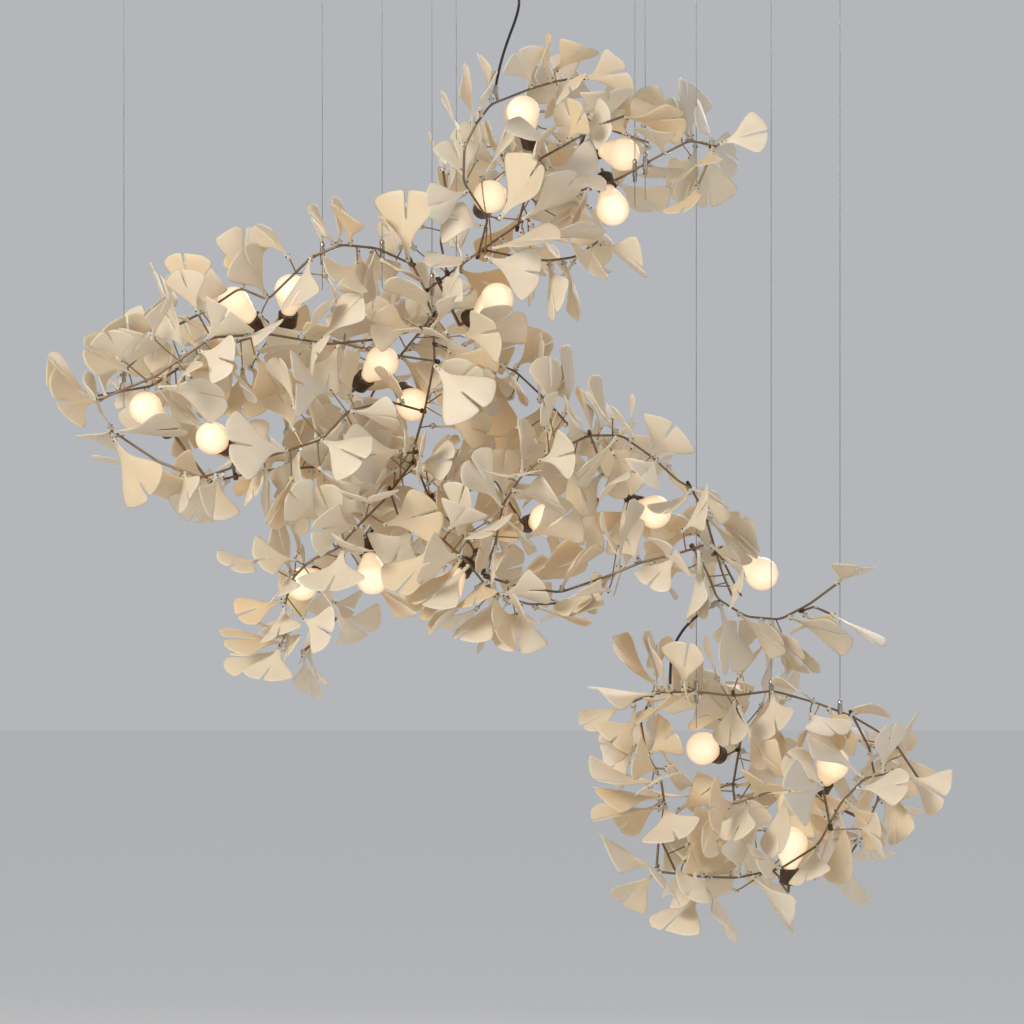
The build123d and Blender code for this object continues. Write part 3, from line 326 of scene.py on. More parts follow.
def ringMiddles(part, reach):
    points, edges = part
    ring = [None] * len(points)
    rings = []
    for start in range(len(points)):
        if ring[start] is not None:
            continue
        ring[start] = len(rings)
        members = [start]
        for i in members:
            for j in range(len(points)):
                if ring[j] is None and (points[i] - points[j]).length < reach:
                    ring[j] = len(rings)
                    members.append(j)
        rings.append(members)
    linked = [set() for i in rings]
    for i, j in edges:
        if ring[i] != ring[j]:
            linked[ring[i]].add(ring[j])
            linked[ring[j]].add(ring[i])
    ends = [i for i in range(len(rings)) if len(linked[i]) == 1]
    order = [ends[0]]
    while len(order) < len(rings):
        order.append([i for i in linked[order[-1]] if i not in order][0])
    sides = len(points) // len(rings)
    return [middle([points[j] for j in rings[i]]) for i in order], sides


# One leaf's own frame, read from its flat facets
leafThickness = 2.8 * mm
slitShare = 0.56
cornerShares = (0.82, 0.455)
lipShare = 0.995


def leafFrame(points):
    middles = []
    normal = None
    left = list(points)
    while left:
        first = left.pop(0)
        partner = min(left, key=lambda p: abs((p - first).length - leafThickness))
        left.remove(partner)
        if normal is None:
            normal = (partner - first).normalized()
        middles.append((first + partner) / 2)
    pairs = [(a, b) for i, a in enumerate(middles) for b in middles[i + 1:]]
    stemA, stemB = min(pairs, key=lambda pair: (pair[0] - pair[1]).length)
    base = (stemA + stemB) / 2
    side = (stemA - stemB).normalized()
    along = normal.cross(side).normalized()
    if along.dot(middle(middles) - base) < 0:
        along = -along
    local = [((p - base).dot(along), (p - base).dot(side), (p - base).dot(normal)) for p in middles]
    length = max(p[0] for p in local) / lipShare
    slit = min(local, key=lambda p: abs(p[0] - slitShare * length) + abs(p[1]))
    corner = max(local, key=lambda p: abs(p[1]))
    curl = slit[2] / length / slitShare ** 2
    cup = (corner[2] / length - curl * cornerShares[0] ** 2) / cornerShares[1] ** 2
    return {"base": base, "along": along, "side": side, "normal": normal, "length": length,
            "cup": cup, "curl": curl}


leafNodes = sorted(name for name in cadNodes if name.startswith("leaves_"))
leafFrames = {name: [leafFrame(points) for points, edges in looseParts(name)] for name in leafNodes}
print("leaf frames read:", sum(len(v) for v in leafFrames.values()))

# Rods, stalks and twigs as centre lines
rodNodes = sorted(name for name in cadNodes if name.startswith("rods_"))
twigNodes = sorted(name for name in cadNodes if name.startswith("twigs_"))
rodLines = {name: [ringMiddles(part, ringReach) for part in looseParts(name)] for name in rodNodes}
twigLines = {name: [ringMiddles(part, ringReach)[0] for part in looseParts(name)] for name in twigNodes}
nodeBody = {name: o["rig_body"] for name, o in cadNodes.items()}
print("rods", sum(len(v) for v in rodLines.values()), "twigs", sum(len(v) for v in twigLines.values()))


def softenedRoute(points, reach):
    route = [points[0]]
    for before, corner, after in zip(points, points[1:], points[2:]):
        step = min(reach, 0.45 * min((corner - before).length, (after - corner).length))
        route.append(corner + (before - corner).normalized() * step)
        route.append(corner)
        route.append(corner + (after - corner).normalized() * step)
    route.append(points[-1])
    return route


def tubeCurve(name, routes, radius, roundness, steps):
    curve = bpy.data.curves.new(name, "CURVE")
    curve.dimensions = "3D"
    curve.bevel_depth = radius
    curve.bevel_resolution = roundness
    curve.use_fill_caps = radius > 0
    for route in routes:
        spline = curve.splines.new("NURBS")
        spline.points.add(len(route) - 1)
        for point, place in zip(spline.points, route):
            point.co = (*place, 1.0)
        spline.order_u = 3 if len(route) > 2 else 2
        spline.use_endpoint_u = True
        spline.resolution_u = steps
    return curve


def tubeMesh(name, routes, radius, roundness=2, steps=4):
    curve = tubeCurve(name, routes, radius, roundness, steps)
    holder = bpy.data.objects.new(name, curve)
    bpy.context.scene.collection.objects.link(holder)
    bpy.context.view_layer.update()
    mesh = bpy.data.meshes.new_from_object(holder.evaluated_get(bpy.context.evaluated_depsgraph_get()))
    bpy.data.objects.remove(holder)
    bpy.data.curves.remove(curve)
    return mesh


def turnedTo(origin, axis, across=None):
    axis = axis.normalized()
    if across is None:
        turn = axis.to_track_quat("Z", "Y").to_matrix().to_4x4()
    else:
        side = (across - across.dot(axis) * axis).normalized()
        up = axis.cross(side)
        turn = Matrix((side, up, axis)).transposed().to_4x4()
    return Matrix.Translation(origin) @ turn


# A turned form: its profile is spun about Z, with its ends closed on the axis
def spunMesh(name, profile, steps):
    bm = bmesh.new()
    verts = [bm.verts.new((radius, 0, height)) for radius, height in profile]
    edges = [bm.edges.new(pair) for pair in zip(verts, verts[1:])]
    bmesh.ops.spin(bm, geom=verts + edges, cent=(0, 0, 0), axis=(0, 0, 1), angle=2 * math.pi, steps=steps,
                   use_merge=True)
    bmesh.ops.remove_doubles(bm, verts=bm.verts, dist=mergeReach)
    bmesh.ops.recalc_face_normals(bm, faces=bm.faces)
    mesh = bpy.data.meshes.new(name)
    bm.to_mesh(mesh)
    bm.free()
    return mesh


# A turned ring: its profile runs back to where it starts
def closedSpin(name, profile, steps):
    return spunMesh(name, profile + [profile[0]], steps)


# Leaves: one grid of quads for each, bent to the fan shape, with its slit left open
leafLook = {
    "columns": 7,
    "rows": 7,
    "columnPlaces": [-1.0, -0.7, -0.36, -0.03, 0.03, 0.36, 0.7, 1.0],
    "rowPlaces": [0.0, 0.16, 0.32, 0.46, 0.58, 0.73, 0.88, 1.0],
    "flankPlaces": [0.0, 0.15, 0.30, 0.42, 0.52, 0.64, 0.76, 0.88, 1.0],
    "flankShares": [0.036, 0.036, 0.060, 0.118, 0.192, 0.300, 0.405, 0.485, 0.518],
    "edgeDrop": 0.27,        # how far the corners stand behind the lip
    "notch": 0.035,          # how far the lip dips at the slit
    "lobe": 0.020,
    "ripple": 0.024,
    "twist": 0.11,
    "slitHalf": 0.004,
    "slitMouth": 0.009,
    "slitReach": 0.1,        # columns nearer to the middle than this are the slit's sides
    "lip": 1.015,            # how far the lip stands from the base, in leaf lengths
    "dropPower": 2.4,
    "notchNarrow": 4,
    "waves": 4.2,            # how often the ripple turns from corner to corner
    "stubRadius": 4.1 * mm,
    "stubLength": 13 * mm,
    "stubInset": 0.4 * mm,
}


def bladePoint(leaf, share, across, look):
    half = leaf["width"] * float(np.interp(share, look["flankPlaces"], look["flankShares"]))
    dip = look["notch"] * max(0.0, 1 - abs(across) * look["notchNarrow"]) * share ** 6
    drop = leaf["drop"] * abs(across) ** look["dropPower"] + dip
    forward = share * (look["lip"] - drop)
    forward += look["lobe"] * share ** 4 * math.sin(across * leaf["lobes"] + leaf["phase"])
    sideways = (across + leaf["slant"] * (1 - across * across) * share) * half
    if abs(across) < look["slitReach"]:
        parted = max(0.0, share - leaf["slitFrom"]) / (1 - leaf["slitFrom"])
        opening = look["slitHalf"] + look["slitMouth"] * parted
        sideways = math.copysign(opening, across) + leaf["slant"] * share * half
    lift = leaf["cup"] * sideways ** 2 + leaf["curl"] * forward ** 2
    lift += look["ripple"] * share ** 2 * math.sin(across * look["waves"] + 2 * leaf["phase"])
    lift += leaf["twist"] * forward * sideways
    local = forward * leaf["along"] + sideways * leaf["side"] + lift * leaf["normal"]
    return leaf["base"] + leaf["length"] * local


def giveCharacter(leaf, chance, look):
    leaf["lobes"] = chance.uniform(5.0, 8.5)
    leaf["width"] = chance.uniform(0.92, 1.03)
    leaf["drop"] = look["edgeDrop"] * chance.uniform(0.6, 1.25)
    leaf["phase"] = chance.uniform(0, 2 * math.pi)
    leaf["slant"] = chance.uniform(-0.16, 0.16)
    leaf["twist"] = chance.uniform(-look["twist"], look["twist"])
    leaf["slitFrom"] = chance.choice((0.46, 0.58, 0.58, 0.73))
    leaf["tone"] = chance.random()
    return leaf


def addBlade(bm, leaf, look):
    tone = bm.verts.layers.float["leafTone"]
    made = bmesh.ops.create_grid(bm, x_segments=look["columns"], y_segments=look["rows"], size=1.0)
    cut = []
    for vert in made["verts"]:
        column = int(round((vert.co.x + 1) / 2 * look["columns"]))
        row = int(round((vert.co.y + 1) / 2 * look["rows"]))
        vert.co = bladePoint(leaf, look["rowPlaces"][row], look["columnPlaces"][column], look)
        vert[tone] = leaf["tone"]
        if column in (3, 4) and look["rowPlaces"][row] >= leaf["slitFrom"] - 0.01:
            cut.append(vert)
    cutSet = set(cut)
    faces = {f for v in cut for f in v.link_faces if all(w in cutSet for w in f.verts)}
    bmesh.ops.delete(bm, geom=list(faces), context="FACES")


def addStub(bm, leaf, stub, look):
    before = len(bm.verts)
    start = leaf["base"] - look["stubInset"] * leaf["along"]
    addCopy(bm, stub, turnedTo(start, leaf["along"], leaf["side"]))
    tone = bm.verts.layers.float["leafTone"]
    for vert in bm.verts[before:]:
        vert[tone] = leaf["tone"]


def stubMesh(look):
    radius = look["stubRadius"]
    length = look["stubLength"]
    profile = [(0, 0), (0.82 * radius, 0), (radius, 0.9 * mm), (radius, 0.55 * length),
               (0.72 * radius, 0.9 * length), (0.3 * radius, 1.25 * length), (0, 1.3 * length)]
    return spunMesh("leafStub", profile, 8)


def leafPiece(name, leaves, stub, look):
    blades = bmesh.new()
    blades.verts.layers.float.new("leafTone")
    for leaf in leaves:
        addBlade(blades, leaf, look)
    bmesh.ops.recalc_face_normals(blades, faces=blades.faces)
    piece = pieceFromBmesh(name, blades)
    plate = piece.modifiers.new("plate", "SOLIDIFY")
    plate.thickness = leafThickness
    plate.offset = 0
    plate.edge_crease_rim = 0.35
    smooth = piece.modifiers.new("smooth", "SUBSURF")
    smooth.levels = 1
    smooth.render_levels = 1
    bpy.context.view_layer.update()
    shaped = bpy.data.meshes.new_from_object(piece.evaluated_get(bpy.context.evaluated_depsgraph_get()))
    piece.modifiers.clear()
    whole = bmesh.new()
    whole.from_mesh(shaped)
    for leaf in leaves:
        addStub(whole, leaf, stub, look)
    whole.to_mesh(piece.data)
    whole.free()
    for polygon in piece.data.polygons:
        polygon.use_smooth = True
    return piece


leafChance = random.Random(7)
leafStub = stubMesh(leafLook)
heldLeaves = forBothGroups(list)
for nodeName in leafNodes:
    for leaf in leafFrames[nodeName]:
        giveCharacter(leaf, leafChance, leafLook)
    piece = leafPiece("porcelain_" + nodeName, leafFrames[nodeName], leafStub, leafLook)
    settle(piece, nodeBody[nodeName], porcelain, [nodeName])
    heldLeaves[nodeBody[nodeName]] += leafFrames[nodeName]
print("leaves made")

# Branch rods as smooth tubes, their stalks, and a small clamp where each one starts
rodLook = {
    "radius": 2.2 * mm,
    "stalkRadius": 3.0 * mm,
    "twigRadius": 1.3 * mm,
    "bend": 24 * mm,
    "twigInto": 5,           # mm that a twig runs on into its leaf's stem
    "branchStep": 2 * mm,    # between the samples along a branch, and along stalks and twigs
    "metalStep": 4 * mm,
    "clampLength": 13 * mm,
    "clampFrom": 7,          # mm from a rod's end to the middle of its clamp
    "clampReach": 9 * mm,    # a rod nearer than this is the one that it is clamped to
    "ownReach": 2.6 * mm,    # samples nearer than this are the rod's own
    "clampWall": 3.1 * mm,
    "clampDepth": 3.4 * mm,
}
branchSamples = forBothGroups(list)    # each a place on a branch and the way it runs
metalSamples = forBothGroups(list)


def samplesAlong(points, step):
    samples = []
    for a, b in zip(points, points[1:]):
        count = max(1, int((b - a).length / step))
        samples += [(a.lerp(b, i / count), (b - a).normalized()) for i in range(count)]
    return samples


def treeOf(points):
    tree = KDTree(len(points))
    for i, point in enumerate(points):
        tree.insert(point, i)
    tree.balance()
    return tree


def clampMesh(look):
    length = look["clampLength"]
    profile = [(0, -length / 2), (0.8, -length / 2), (1.0, -0.42 * length), (1.0, 0.42 * length),
               (0.8, length / 2), (0, length / 2)]
    return spunMesh("rodClamp", profile, 12)


clamp = clampMesh(rodLook)
for nodeName in rodNodes:
    body = nodeBody[nodeName]
    branches = [line for line, sides in rodLines[nodeName] if sides == 5]
    stalks = [line for line, sides in rodLines[nodeName] if sides == 4]
    whole = bmesh.new()
    for lines, radius in ((branches, rodLook["radius"]), (stalks, rodLook["stalkRadius"])):
        if lines:
            routes = [softenedRoute(line, rodLook["bend"]) for line in lines]
            whole.from_mesh(tubeMesh("tubes", routes, radius))
    piece = pieceFromBmesh("metal_" + nodeName, whole, math.radians(50))
    settle(piece, body, rodMetal, [nodeName])
    for line in branches:
        branchSamples[body] += samplesAlong(line, rodLook["branchStep"])
    for line in stalks:
        metalSamples[body] += [spot for spot, way in samplesAlong(line, rodLook["metalStep"])]
for nodeName in twigNodes:
    for line in twigLines[nodeName]:
        metalSamples[nodeBody[nodeName]] += [spot for spot, way in samplesAlong(line, rodLook["metalStep"])]
    routes = [[line[0], line[1] + (line[1] - line[0]).normalized() * rodLook["twigInto"] * mm]
              for line in twigLines[nodeName]]
    tubes = tubeMesh("twigs", routes, rodLook["twigRadius"])
    piece = pieceFromMesh("metal_" + nodeName, tubes, math.radians(50))
    settle(piece, nodeBody[nodeName], twigMetal, [nodeName])

rodTrees = {body: treeOf([spot for spot, way in samples]) for body, samples in branchSamples.items()}

clamps = forBothGroups(bmesh.new)
for nodeName in rodNodes:
    body = nodeBody[nodeName]
    for line, sides in rodLines[nodeName]:
        way = (line[1] - line[0]).normalized()
        seat = line[0] + way * rodLook["clampFrom"] * mm
        near = sorted(rodTrees[body].find_range(seat, rodLook["clampReach"]), key=lambda found: found[2])
        others = [found for found in near if found[2] > rodLook["ownReach"]]
        if not others:
            continue
        spot = others[0][0]
        both = (spot - seat).length
        size = Matrix.Diagonal((both / 2 + rodLook["clampWall"], rodLook["clampDepth"], 1.0, 1.0))
        addCopy(clamps[body], clamp, turnedTo((spot + seat) / 2, way, spot - seat) @ size)
for body, bm in clamps.items():
    piece = pieceFromBmesh("rodClamps_" + body, bm, math.radians(40))
    settle(piece, body, holderMetal)
print("rods made")

# Lamps: opal globes with their caps, and the spun holders
bulbLook = {
    "globe": 30 * mm, "globeRings": 13, "globeTurn": 10.5, "neck": 45 * mm, "neckRings": 4, "steps": 32,
    "capEnd": 72 * mm, "capRadius": 13 * mm, "capSteps": 24, "threads": 6,
    "holderOuter": 17.2 * mm, "holderInner": 14.4 * mm, "holderSteps": 28,
    "holderFloor": -72.3 * mm, "holderMouth": -46.8 * mm,
}
bulbJoints = {j["child"]: j for j in frame["joints"] if j["child"].startswith("bulb_")}


def bulbProfile(look):
    globe = look["globe"]
    profile = []
    for i in range(look["globeRings"]):
        turn = math.radians(90 - look["globeTurn"] * i)
        profile.append((globe * math.cos(turn), globe * math.sin(turn)))
    profile[0] = (0, globe)
    lowRadius, lowHeight = profile[-1]
    neckHeight = -look["neck"]
    neckRadius = look["capRadius"] + 0.6 * mm
    for i in range(1, look["neckRings"] + 1):
        share = i / look["neckRings"]
        ease = share * share * (3 - 2 * share)
        profile.append((lowRadius + (neckRadius - lowRadius) * ease,
                        lowHeight + (neckHeight - lowHeight) * share))
    return profile + [(neckRadius - 1.2 * mm, neckHeight - 0.6 * mm), (0, neckHeight - 0.6 * mm)]


def capProfile(look):
    radius = look["capRadius"]
    top = -look["neck"] + 1.0 * mm
    low = -look["capEnd"]
    profile = [(0, top), (radius - 0.8 * mm, top)]
    pitch = (top - low - 7 * mm) / look["threads"]
    for i in range(look["threads"]):
        height = top - 2 * mm - i * pitch
        profile += [(radius, height), (radius - 1.0 * mm, height - pitch / 2)]
    profile += [(radius - 2 * mm, low + 4 * mm), (5 * mm, low + 1.2 * mm), (4 * mm, low), (0, low)]
    return profile


def holderProfile(look):
    outer = look["holderOuter"]
    inner = look["holderInner"]
    floor = look["holderFloor"]
    mouth = look["holderMouth"]
    return [(0, floor - 4 * mm), (8 * mm, floor - 4 * mm), (outer - 3 * mm, floor - 3 * mm),
            (outer, floor + 1 * mm), (outer, mouth - 5 * mm), (outer + 1.1 * mm, mouth - 4 * mm),
            (outer + 1.1 * mm, mouth - 1 * mm), (outer + 0.3 * mm, mouth), (inner + 0.6 * mm, mouth),
            (inner, mouth - 1 * mm), (inner, floor + 0.5 * mm), (0, floor)]


globeForm = spunMesh("globe", bulbProfile(bulbLook), bulbLook["steps"])
capForm = spunMesh("cap", capProfile(bulbLook), bulbLook["capSteps"])
holderForm = spunMesh("holder", holderProfile(bulbLook), bulbLook["holderSteps"])
lampAxes = []
for nodeName, joint in sorted(bulbJoints.items()):
    axis = Vector(joint["axis"]).normalized()
    spots = [v.co for v in cadNodes[nodeName].data.vertices]
    low = min(spot.dot(axis) for spot in spots)
    centre = middle(spots)
    globe = centre + axis * (low + bulbLook["capEnd"] - centre.dot(axis))
    lampAxes.append((nodeName, globe, axis))
    piece = pieceFromCopies("globe_" + nodeName, globeForm, [turnedTo(globe, axis)])
    settle(piece, nodeName, opal, [nodeName])
    piece = pieceFromCopies("cap_" + nodeName, capForm, [turnedTo(globe, axis)], math.radians(40))
    settle(piece, nodeName, nickel)
for spray in ("top", "left", "right", "pod"):
    places = [turnedTo(globe, axis) for nodeName, globe, axis in lampAxes
              if nodeName.split("_")[1] == spray]
    piece = pieceFromCopies("holders_" + spray, holderForm, places, math.radians(35))
    settle(piece, nodeBody["lampholders_" + spray], holderMetal, ["lampholders_" + spray])
print("lamps made:", len(lampAxes))

# Cables with their grippers and ceiling anchors
cableLook = {
    "radius": 0.75 * mm, "gripperRadius": 4.5 * mm, "gripperLength": 42 * mm,
    "anchorRadius": 9 * mm, "anchorHeight": 16 * mm,
    "exitRise": 24 * mm,    # from a cable's lower end up to the mouth of its gripper
}


def gripperProfile(look):
    radius = look["gripperRadius"]
    half = look["gripperLength"] / 2
    bore = look["radius"] + 0.2 * mm
    return [(bore, -half), (0.72 * radius, -half), (0.8 * radius, -half + 1 * mm),
            (0.8 * radius, -half + 9 * mm), (radius, -half + 10 * mm), (radius, half - 12 * mm),
            (0.84 * radius, half - 11 * mm), (0.84 * radius, half - 9 * mm), (radius, half - 8 * mm),
            (radius, half - 4 * mm), (0.55 * radius, half - 0.6 * mm), (bore, half)]


def anchorProfile(look):
    radius = look["anchorRadius"]
    height = look["anchorHeight"]
    return [(0, 0), (radius, 0), (radius, -2 * mm), (radius - 1 * mm, -3 * mm),
            (radius - 1.6 * mm, -4 * mm), (0.62 * radius, -height + 5 * mm),
            (0.42 * radius, -height + 1 * mm), (0.3 * radius, -height), (0, -height)]


gripperForm = closedSpin("gripper", gripperProfile(cableLook), 20)
anchorForm = spunMesh("anchor", anchorProfile(cableLook), 24)
cableTop = -0.0163
cablePlaces = [    # across, depth, where it enters its gripper, its lower end, node
    (-0.7087, -0.0311, -0.7001, -0.7871, "cables_upper"),
    (-0.3525, -0.0394, -0.4898, -0.5768, "cables_upper"),
    (-0.2455, -0.0320, -0.4856, -0.5726, "cables_upper"),
    (-0.1562, -0.0252, -0.5452, -0.6322, "cables_upper"),
    (-0.1126, -0.0161, -0.5150, -0.6020, "cables_upper"),
    (0.2087, 0.0152, -0.3385, -0.4255, "cables_upper"),
    (0.2269, -0.0030, -0.3263, -0.4133, "cables_upper"),
    (0.3179, -0.0339, -1.2758, -1.3628, "cables_lower"),
    (0.4520, -0.0366, -1.2740, -1.3610, "cables_lower"),
    (0.5762, -0.0208, -1.3111, -1.3981, "cables_lower"),
]
for i, (across, depth, gripTop, low, node) in enumerate(cablePlaces):
    anchorPlace = Matrix.Translation((across, depth, 0))
    anchor = pieceFromCopies("anchor_" + str(i + 1), anchorForm, [anchorPlace], math.radians(35))
    settle(anchor, "ceiling", nickel, ["ceiling_anchors"])
    name = "cable_" + str(i + 1)
    route = [(across, depth, cableTop), (across, depth, gripTop), (across, depth, low)]
    piece = bpy.data.objects.new(name, tubeCurve(name, [route], cableLook["radius"], 2, 4))
    bpy.context.scene.collection.objects.link(piece)
    settle(piece, "ceiling", cableMetal, [node])
for group in ("upper", "lower"):
    places = [Matrix.Translation(middle(points)) for points, edges in looseParts("grippers_" + group)]
    piece = pieceFromCopies("grippers_shaped_" + group, gripperForm, places, math.radians(35))
    settle(piece, nodeBody["grippers_" + group], nickel, ["grippers_" + group])
print("cables made:", len(cablePlaces))

# Canopy: plate, cover, studs, nuts and terminal block
canopyLook = {
    "radius": 60 * mm, "height": 26 * mm, "wall": 1.5 * mm, "edge": 5 * mm, "lead": 3.4 * mm,
    "studRadius": 2 * mm, "threadDepth": 0.25 * mm, "threads": 18,
    "grommet": [(3.2, 0.8), (6, 0.8), (6, 0), (5.8, -2), (5.4, -4), (4.6, -4), (3.7, -1.8)],
    "nut": [(2.2, 0), (4.4, 0), (5, -0.8), (5, -3.6), (4.4, -5), (3.0, -6), (2.2, -6)],
}


def coverProfile(look):
    radius = look["radius"]
    height = look["height"]
    wall = look["wall"]
    edge = look["edge"]
    outer = [(radius, 0)]
    inner = []
    for i in range(7):
        turn = math.radians(15 * i)
        outer.append((radius - edge + edge * math.cos(turn), -height + edge - edge * math.sin(turn)))
        small = edge - wall
        inner.append((radius - edge + small * math.cos(turn), -height + edge - small * math.sin(turn)))
    hole = [(look["lead"], -height), (look["lead"], -height + wall)]
    return outer + hole + inner[::-1] + [(radius - wall, 0)]


coverForm = closedSpin("cover", coverProfile(canopyLook), 64)
piece = pieceFromCopies("cover_shaped", coverForm, [Matrix.Identity(4)], math.radians(30))
settle(piece, "cover", coverPaint, ["canopy_cover"])
# The grommet opens downwards, where the lead bends away
grommetProfile = [(radius * mm, height * mm) for radius, height in canopyLook["grommet"]]
grommetForm = closedSpin("grommet", grommetProfile, 24)
grommetPlace = Matrix.Translation((0, 0, -canopyLook["height"]))
piece = pieceFromCopies("cover_grommet", grommetForm, [grommetPlace], math.radians(35))
settle(piece, "cover", leadPlastic)
nutForm = closedSpin("nut", [(radius * mm, height * mm) for radius, height in canopyLook["nut"]], 20)
places = []
for points, edges in looseParts("cover_nuts"):
    spot = middle(points)
    places.append(Matrix.Translation((spot.x, spot.y, max(p.z for p in points))))
piece = pieceFromCopies("nuts_shaped", nutForm, places, math.radians(35))
settle(piece, "cover", nickel, ["cover_nuts"])
studs = bmesh.new()
for points, edges in looseParts("cover_studs"):
    spot = middle(points)
    top = max(p.z for p in points)
    low = min(p.z for p in points)
    radius = canopyLook["studRadius"]
    turns = canopyLook["threads"]
    profile = [(0, top), (radius, top)]
    for i in range(turns):
        height = top - 2 * mm - (top - low - 4 * mm) * i / (turns - 1)
        profile += [(radius, height), (radius - canopyLook["threadDepth"], height - 0.6 * mm)]
    profile += [(1.4 * mm, low), (0, low)]
    addCopy(studs, spunMesh("stud", profile, 12), Matrix.Translation((spot.x, spot.y, 0)))
piece = pieceFromBmesh("studs_shaped", studs, math.radians(35))
settle(piece, "ceiling", zinc, ["cover_studs"])
cadFinishes = {"ceiling_plate": zinc, "terminal_block": terminalPlastic, "power_sleeve": nickel,
               "link_sleeve_upper": nickel, "link_sleeve_lower": nickel}
for nodeName, material in cadFinishes.items():
    cadNodes[nodeName].data.materials.clear()
    cadNodes[nodeName].data.materials.append(material)
print("canopy made")

# Leads: their routes are the same points as the solids', in metres
leadRadius = 2.5 * mm
powerRoute = [(0, 0, -0.0153), (0, 0, -0.0450), (0, 0, -0.0735), (-0.0252, -0.0633, -0.1439),
              (-0.0378, -0.1093, -0.1942), (-0.0414, -0.1381, -0.2194)]
linkRoute = [(0.3435, -0.0547, -1.1437), (0.3093, -0.0403, -1.1653), (0.2787, -0.0230, -1.2084),
             (0.2715, -0.0115, -1.2480), (0.2715, -0.0144, -1.2839)]


def leadPiece(name, node, route, upperBody, lowerBody, firstMoved):
    route = [Vector(p) for p in route]
    line = tubeMesh(name + "Line", [route], 0, 0, 12)
    path = [v.co.copy() for v in line.vertices]
    if (path[0] - route[0]).length > (path[-1] - route[0]).length:
        path.reverse()
    piece = pieceFromMesh(name, tubeMesh(name, [route], leadRadius, 4, 12), math.radians(60))
    piece.data.materials.append(leadPlastic)
    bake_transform(piece, upperBody, lowerBody, start=route[firstMoved], end=route[-1])
    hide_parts(node)


leadPiece("power_cord", "power_lead", powerRoute, "ceiling", "upper_group", 2)
leadPiece("link_cord", "link_lead", linkRoute, "upper_group", "lower_group", 0)

# The leaves that fill the sprays: each stands on a branch, clear of all that is round it
fillLook = {
    "count": 360,
    "tries": 30000,
    "perPiece": 60,
    "sizes": [88 * mm, 98 * mm, 110 * mm],
    "bends": [(0.55, 0.10), (-0.45, 0.16), (0.30, -0.14), (-0.20, -0.08)],
    "slope": 0.72,             # the most that a leaf leans along its branch
    "leafGap": 7.5 * mm,
    "metalGap": 6 * mm,
    "globeGap": 36 * mm,
    "showGap": 35 * mm,        # a leaf before a globe keeps this far to its side
    "holderGap": 23 * mm,
    "cableGap": 9 * mm,
    "leadGap": 12 * mm,
    "otherGap": 11 * mm,
    "passGap": 15 * mm,
    "travel": 30 * mm,
    "lampReach": 0.25,         # lamps farther from a leaf's lip than this don't matter to it
    "holderEnd": 78 * mm,      # from a globe's middle to its holder's end
    "groupReach": 0.3,
    "seatExtra": 2 * mm,       # more room where a twig ends
    "turnOut": 0.2,            # the least that a leaf goes on the way its twig goes
    "outline": 19 * mm,        # how far a leaf may show past the leaves that are there
    "twigShare": 0.55,         # how many stand off on a twig
    "twigLengths": (26 * mm, 78 * mm),
    "twigGap": 3.5 * mm,
    "seed": 23,
}
bladeShares = (0.3, 0.42, 0.54, 0.66, 0.78, 0.89, 1.0)
bladeAcross = (-1, -0.66, -0.33, 0, 0.33, 0.66, 1)


# The rough outlines of the three leafy masses as seen from the front, in picture places
massOutlines = [
    [(460, 120), (488, 62), (545, 50), (615, 75), (650, 105), (700, 90), (738, 120), (762, 140),
     (735, 180), (690, 195), (650, 205), (632, 240), (590, 245), (570, 300), (520, 290), (470, 265),
     (438, 240), (444, 170)],
    [(62, 360), (105, 318), (168, 272), (228, 235), (272, 238), (318, 250), (382, 225), (420, 262),
     (470, 255), (512, 285), (560, 335), (585, 385), (645, 430), (690, 478), (745, 530), (785, 575),
     (765, 602), (700, 598), (645, 592), (600, 600), (548, 642), (480, 648), (395, 628), (362, 592),
     (335, 640), (312, 690), (262, 682), (222, 640), (246, 600), (268, 545), (262, 505), (212, 530),
     (160, 508), (112, 470), (82, 425)],
    [(592, 640), (650, 632), (705, 660), (760, 688), (830, 690), (905, 722), (942, 780), (928, 832),
     (890, 868), (848, 892), (795, 922), (742, 895), (690, 925), (655, 880), (602, 862), (622, 820),
     (592, 795), (612, 750), (582, 722)],
]


def insideMass(spot):
    px = view["centre"][0] + spot.x / view["pixel"]
    py = view["centre"][1] - spot.z / view["pixel"]
    for outline in massOutlines:
        inside = False
        for (ax, ay), (bx, by) in zip(outline, outline[1:] + outline[:1]):
            if (ay > py) != (by > py) and px < ax + (bx - ax) * (py - ay) / (by - ay):
                inside = not inside
        if inside:
            return True
    return False


def bladeSpots(leaf, look):
    return [bladePoint(leaf, share, across, look) for share in bladeShares for across in bladeAcross]


def stemSpots(leaf):
    return [leaf["base"] + reach * mm * leaf["along"] for reach in (4, 14)]


def distanceToRun(spot, start, end):
    run = end - start
    share = min(1.0, max(0.0, (spot - start).dot(run) / run.length_squared))
    return (spot - start - share * run).length


def clearOfLamps(spots, look):
    for nodeName, globe, axis in lampAxes:
        if (spots[-1] - globe).length > look["lampReach"]:
            continue
        for spot in spots:
            if distanceToRun(spot, globe, globe + look["travel"] * axis) < look["globeGap"]:
                return False
            if distanceToRun(spot, globe - look["holderEnd"] * axis, globe) < look["holderGap"]:
                return False
    return True


def leavesLampsInView(spots, look):
    for nodeName, globe, axis in lampAxes:
        for spot in spots:
            if spot.y < globe.y and math.hypot(spot.x - globe.x, spot.z - globe.z) < look["showGap"]:
                return False
    return True


def clearOfCables(spots, look):
    for across, depth, gripTop, low, node in cablePlaces:
        for spot in spots:
            aside = math.hypot(spot.x - across, spot.y - depth)
            if spot.z > low - look["travel"] and aside < look["cableGap"]:
                return False
    return True


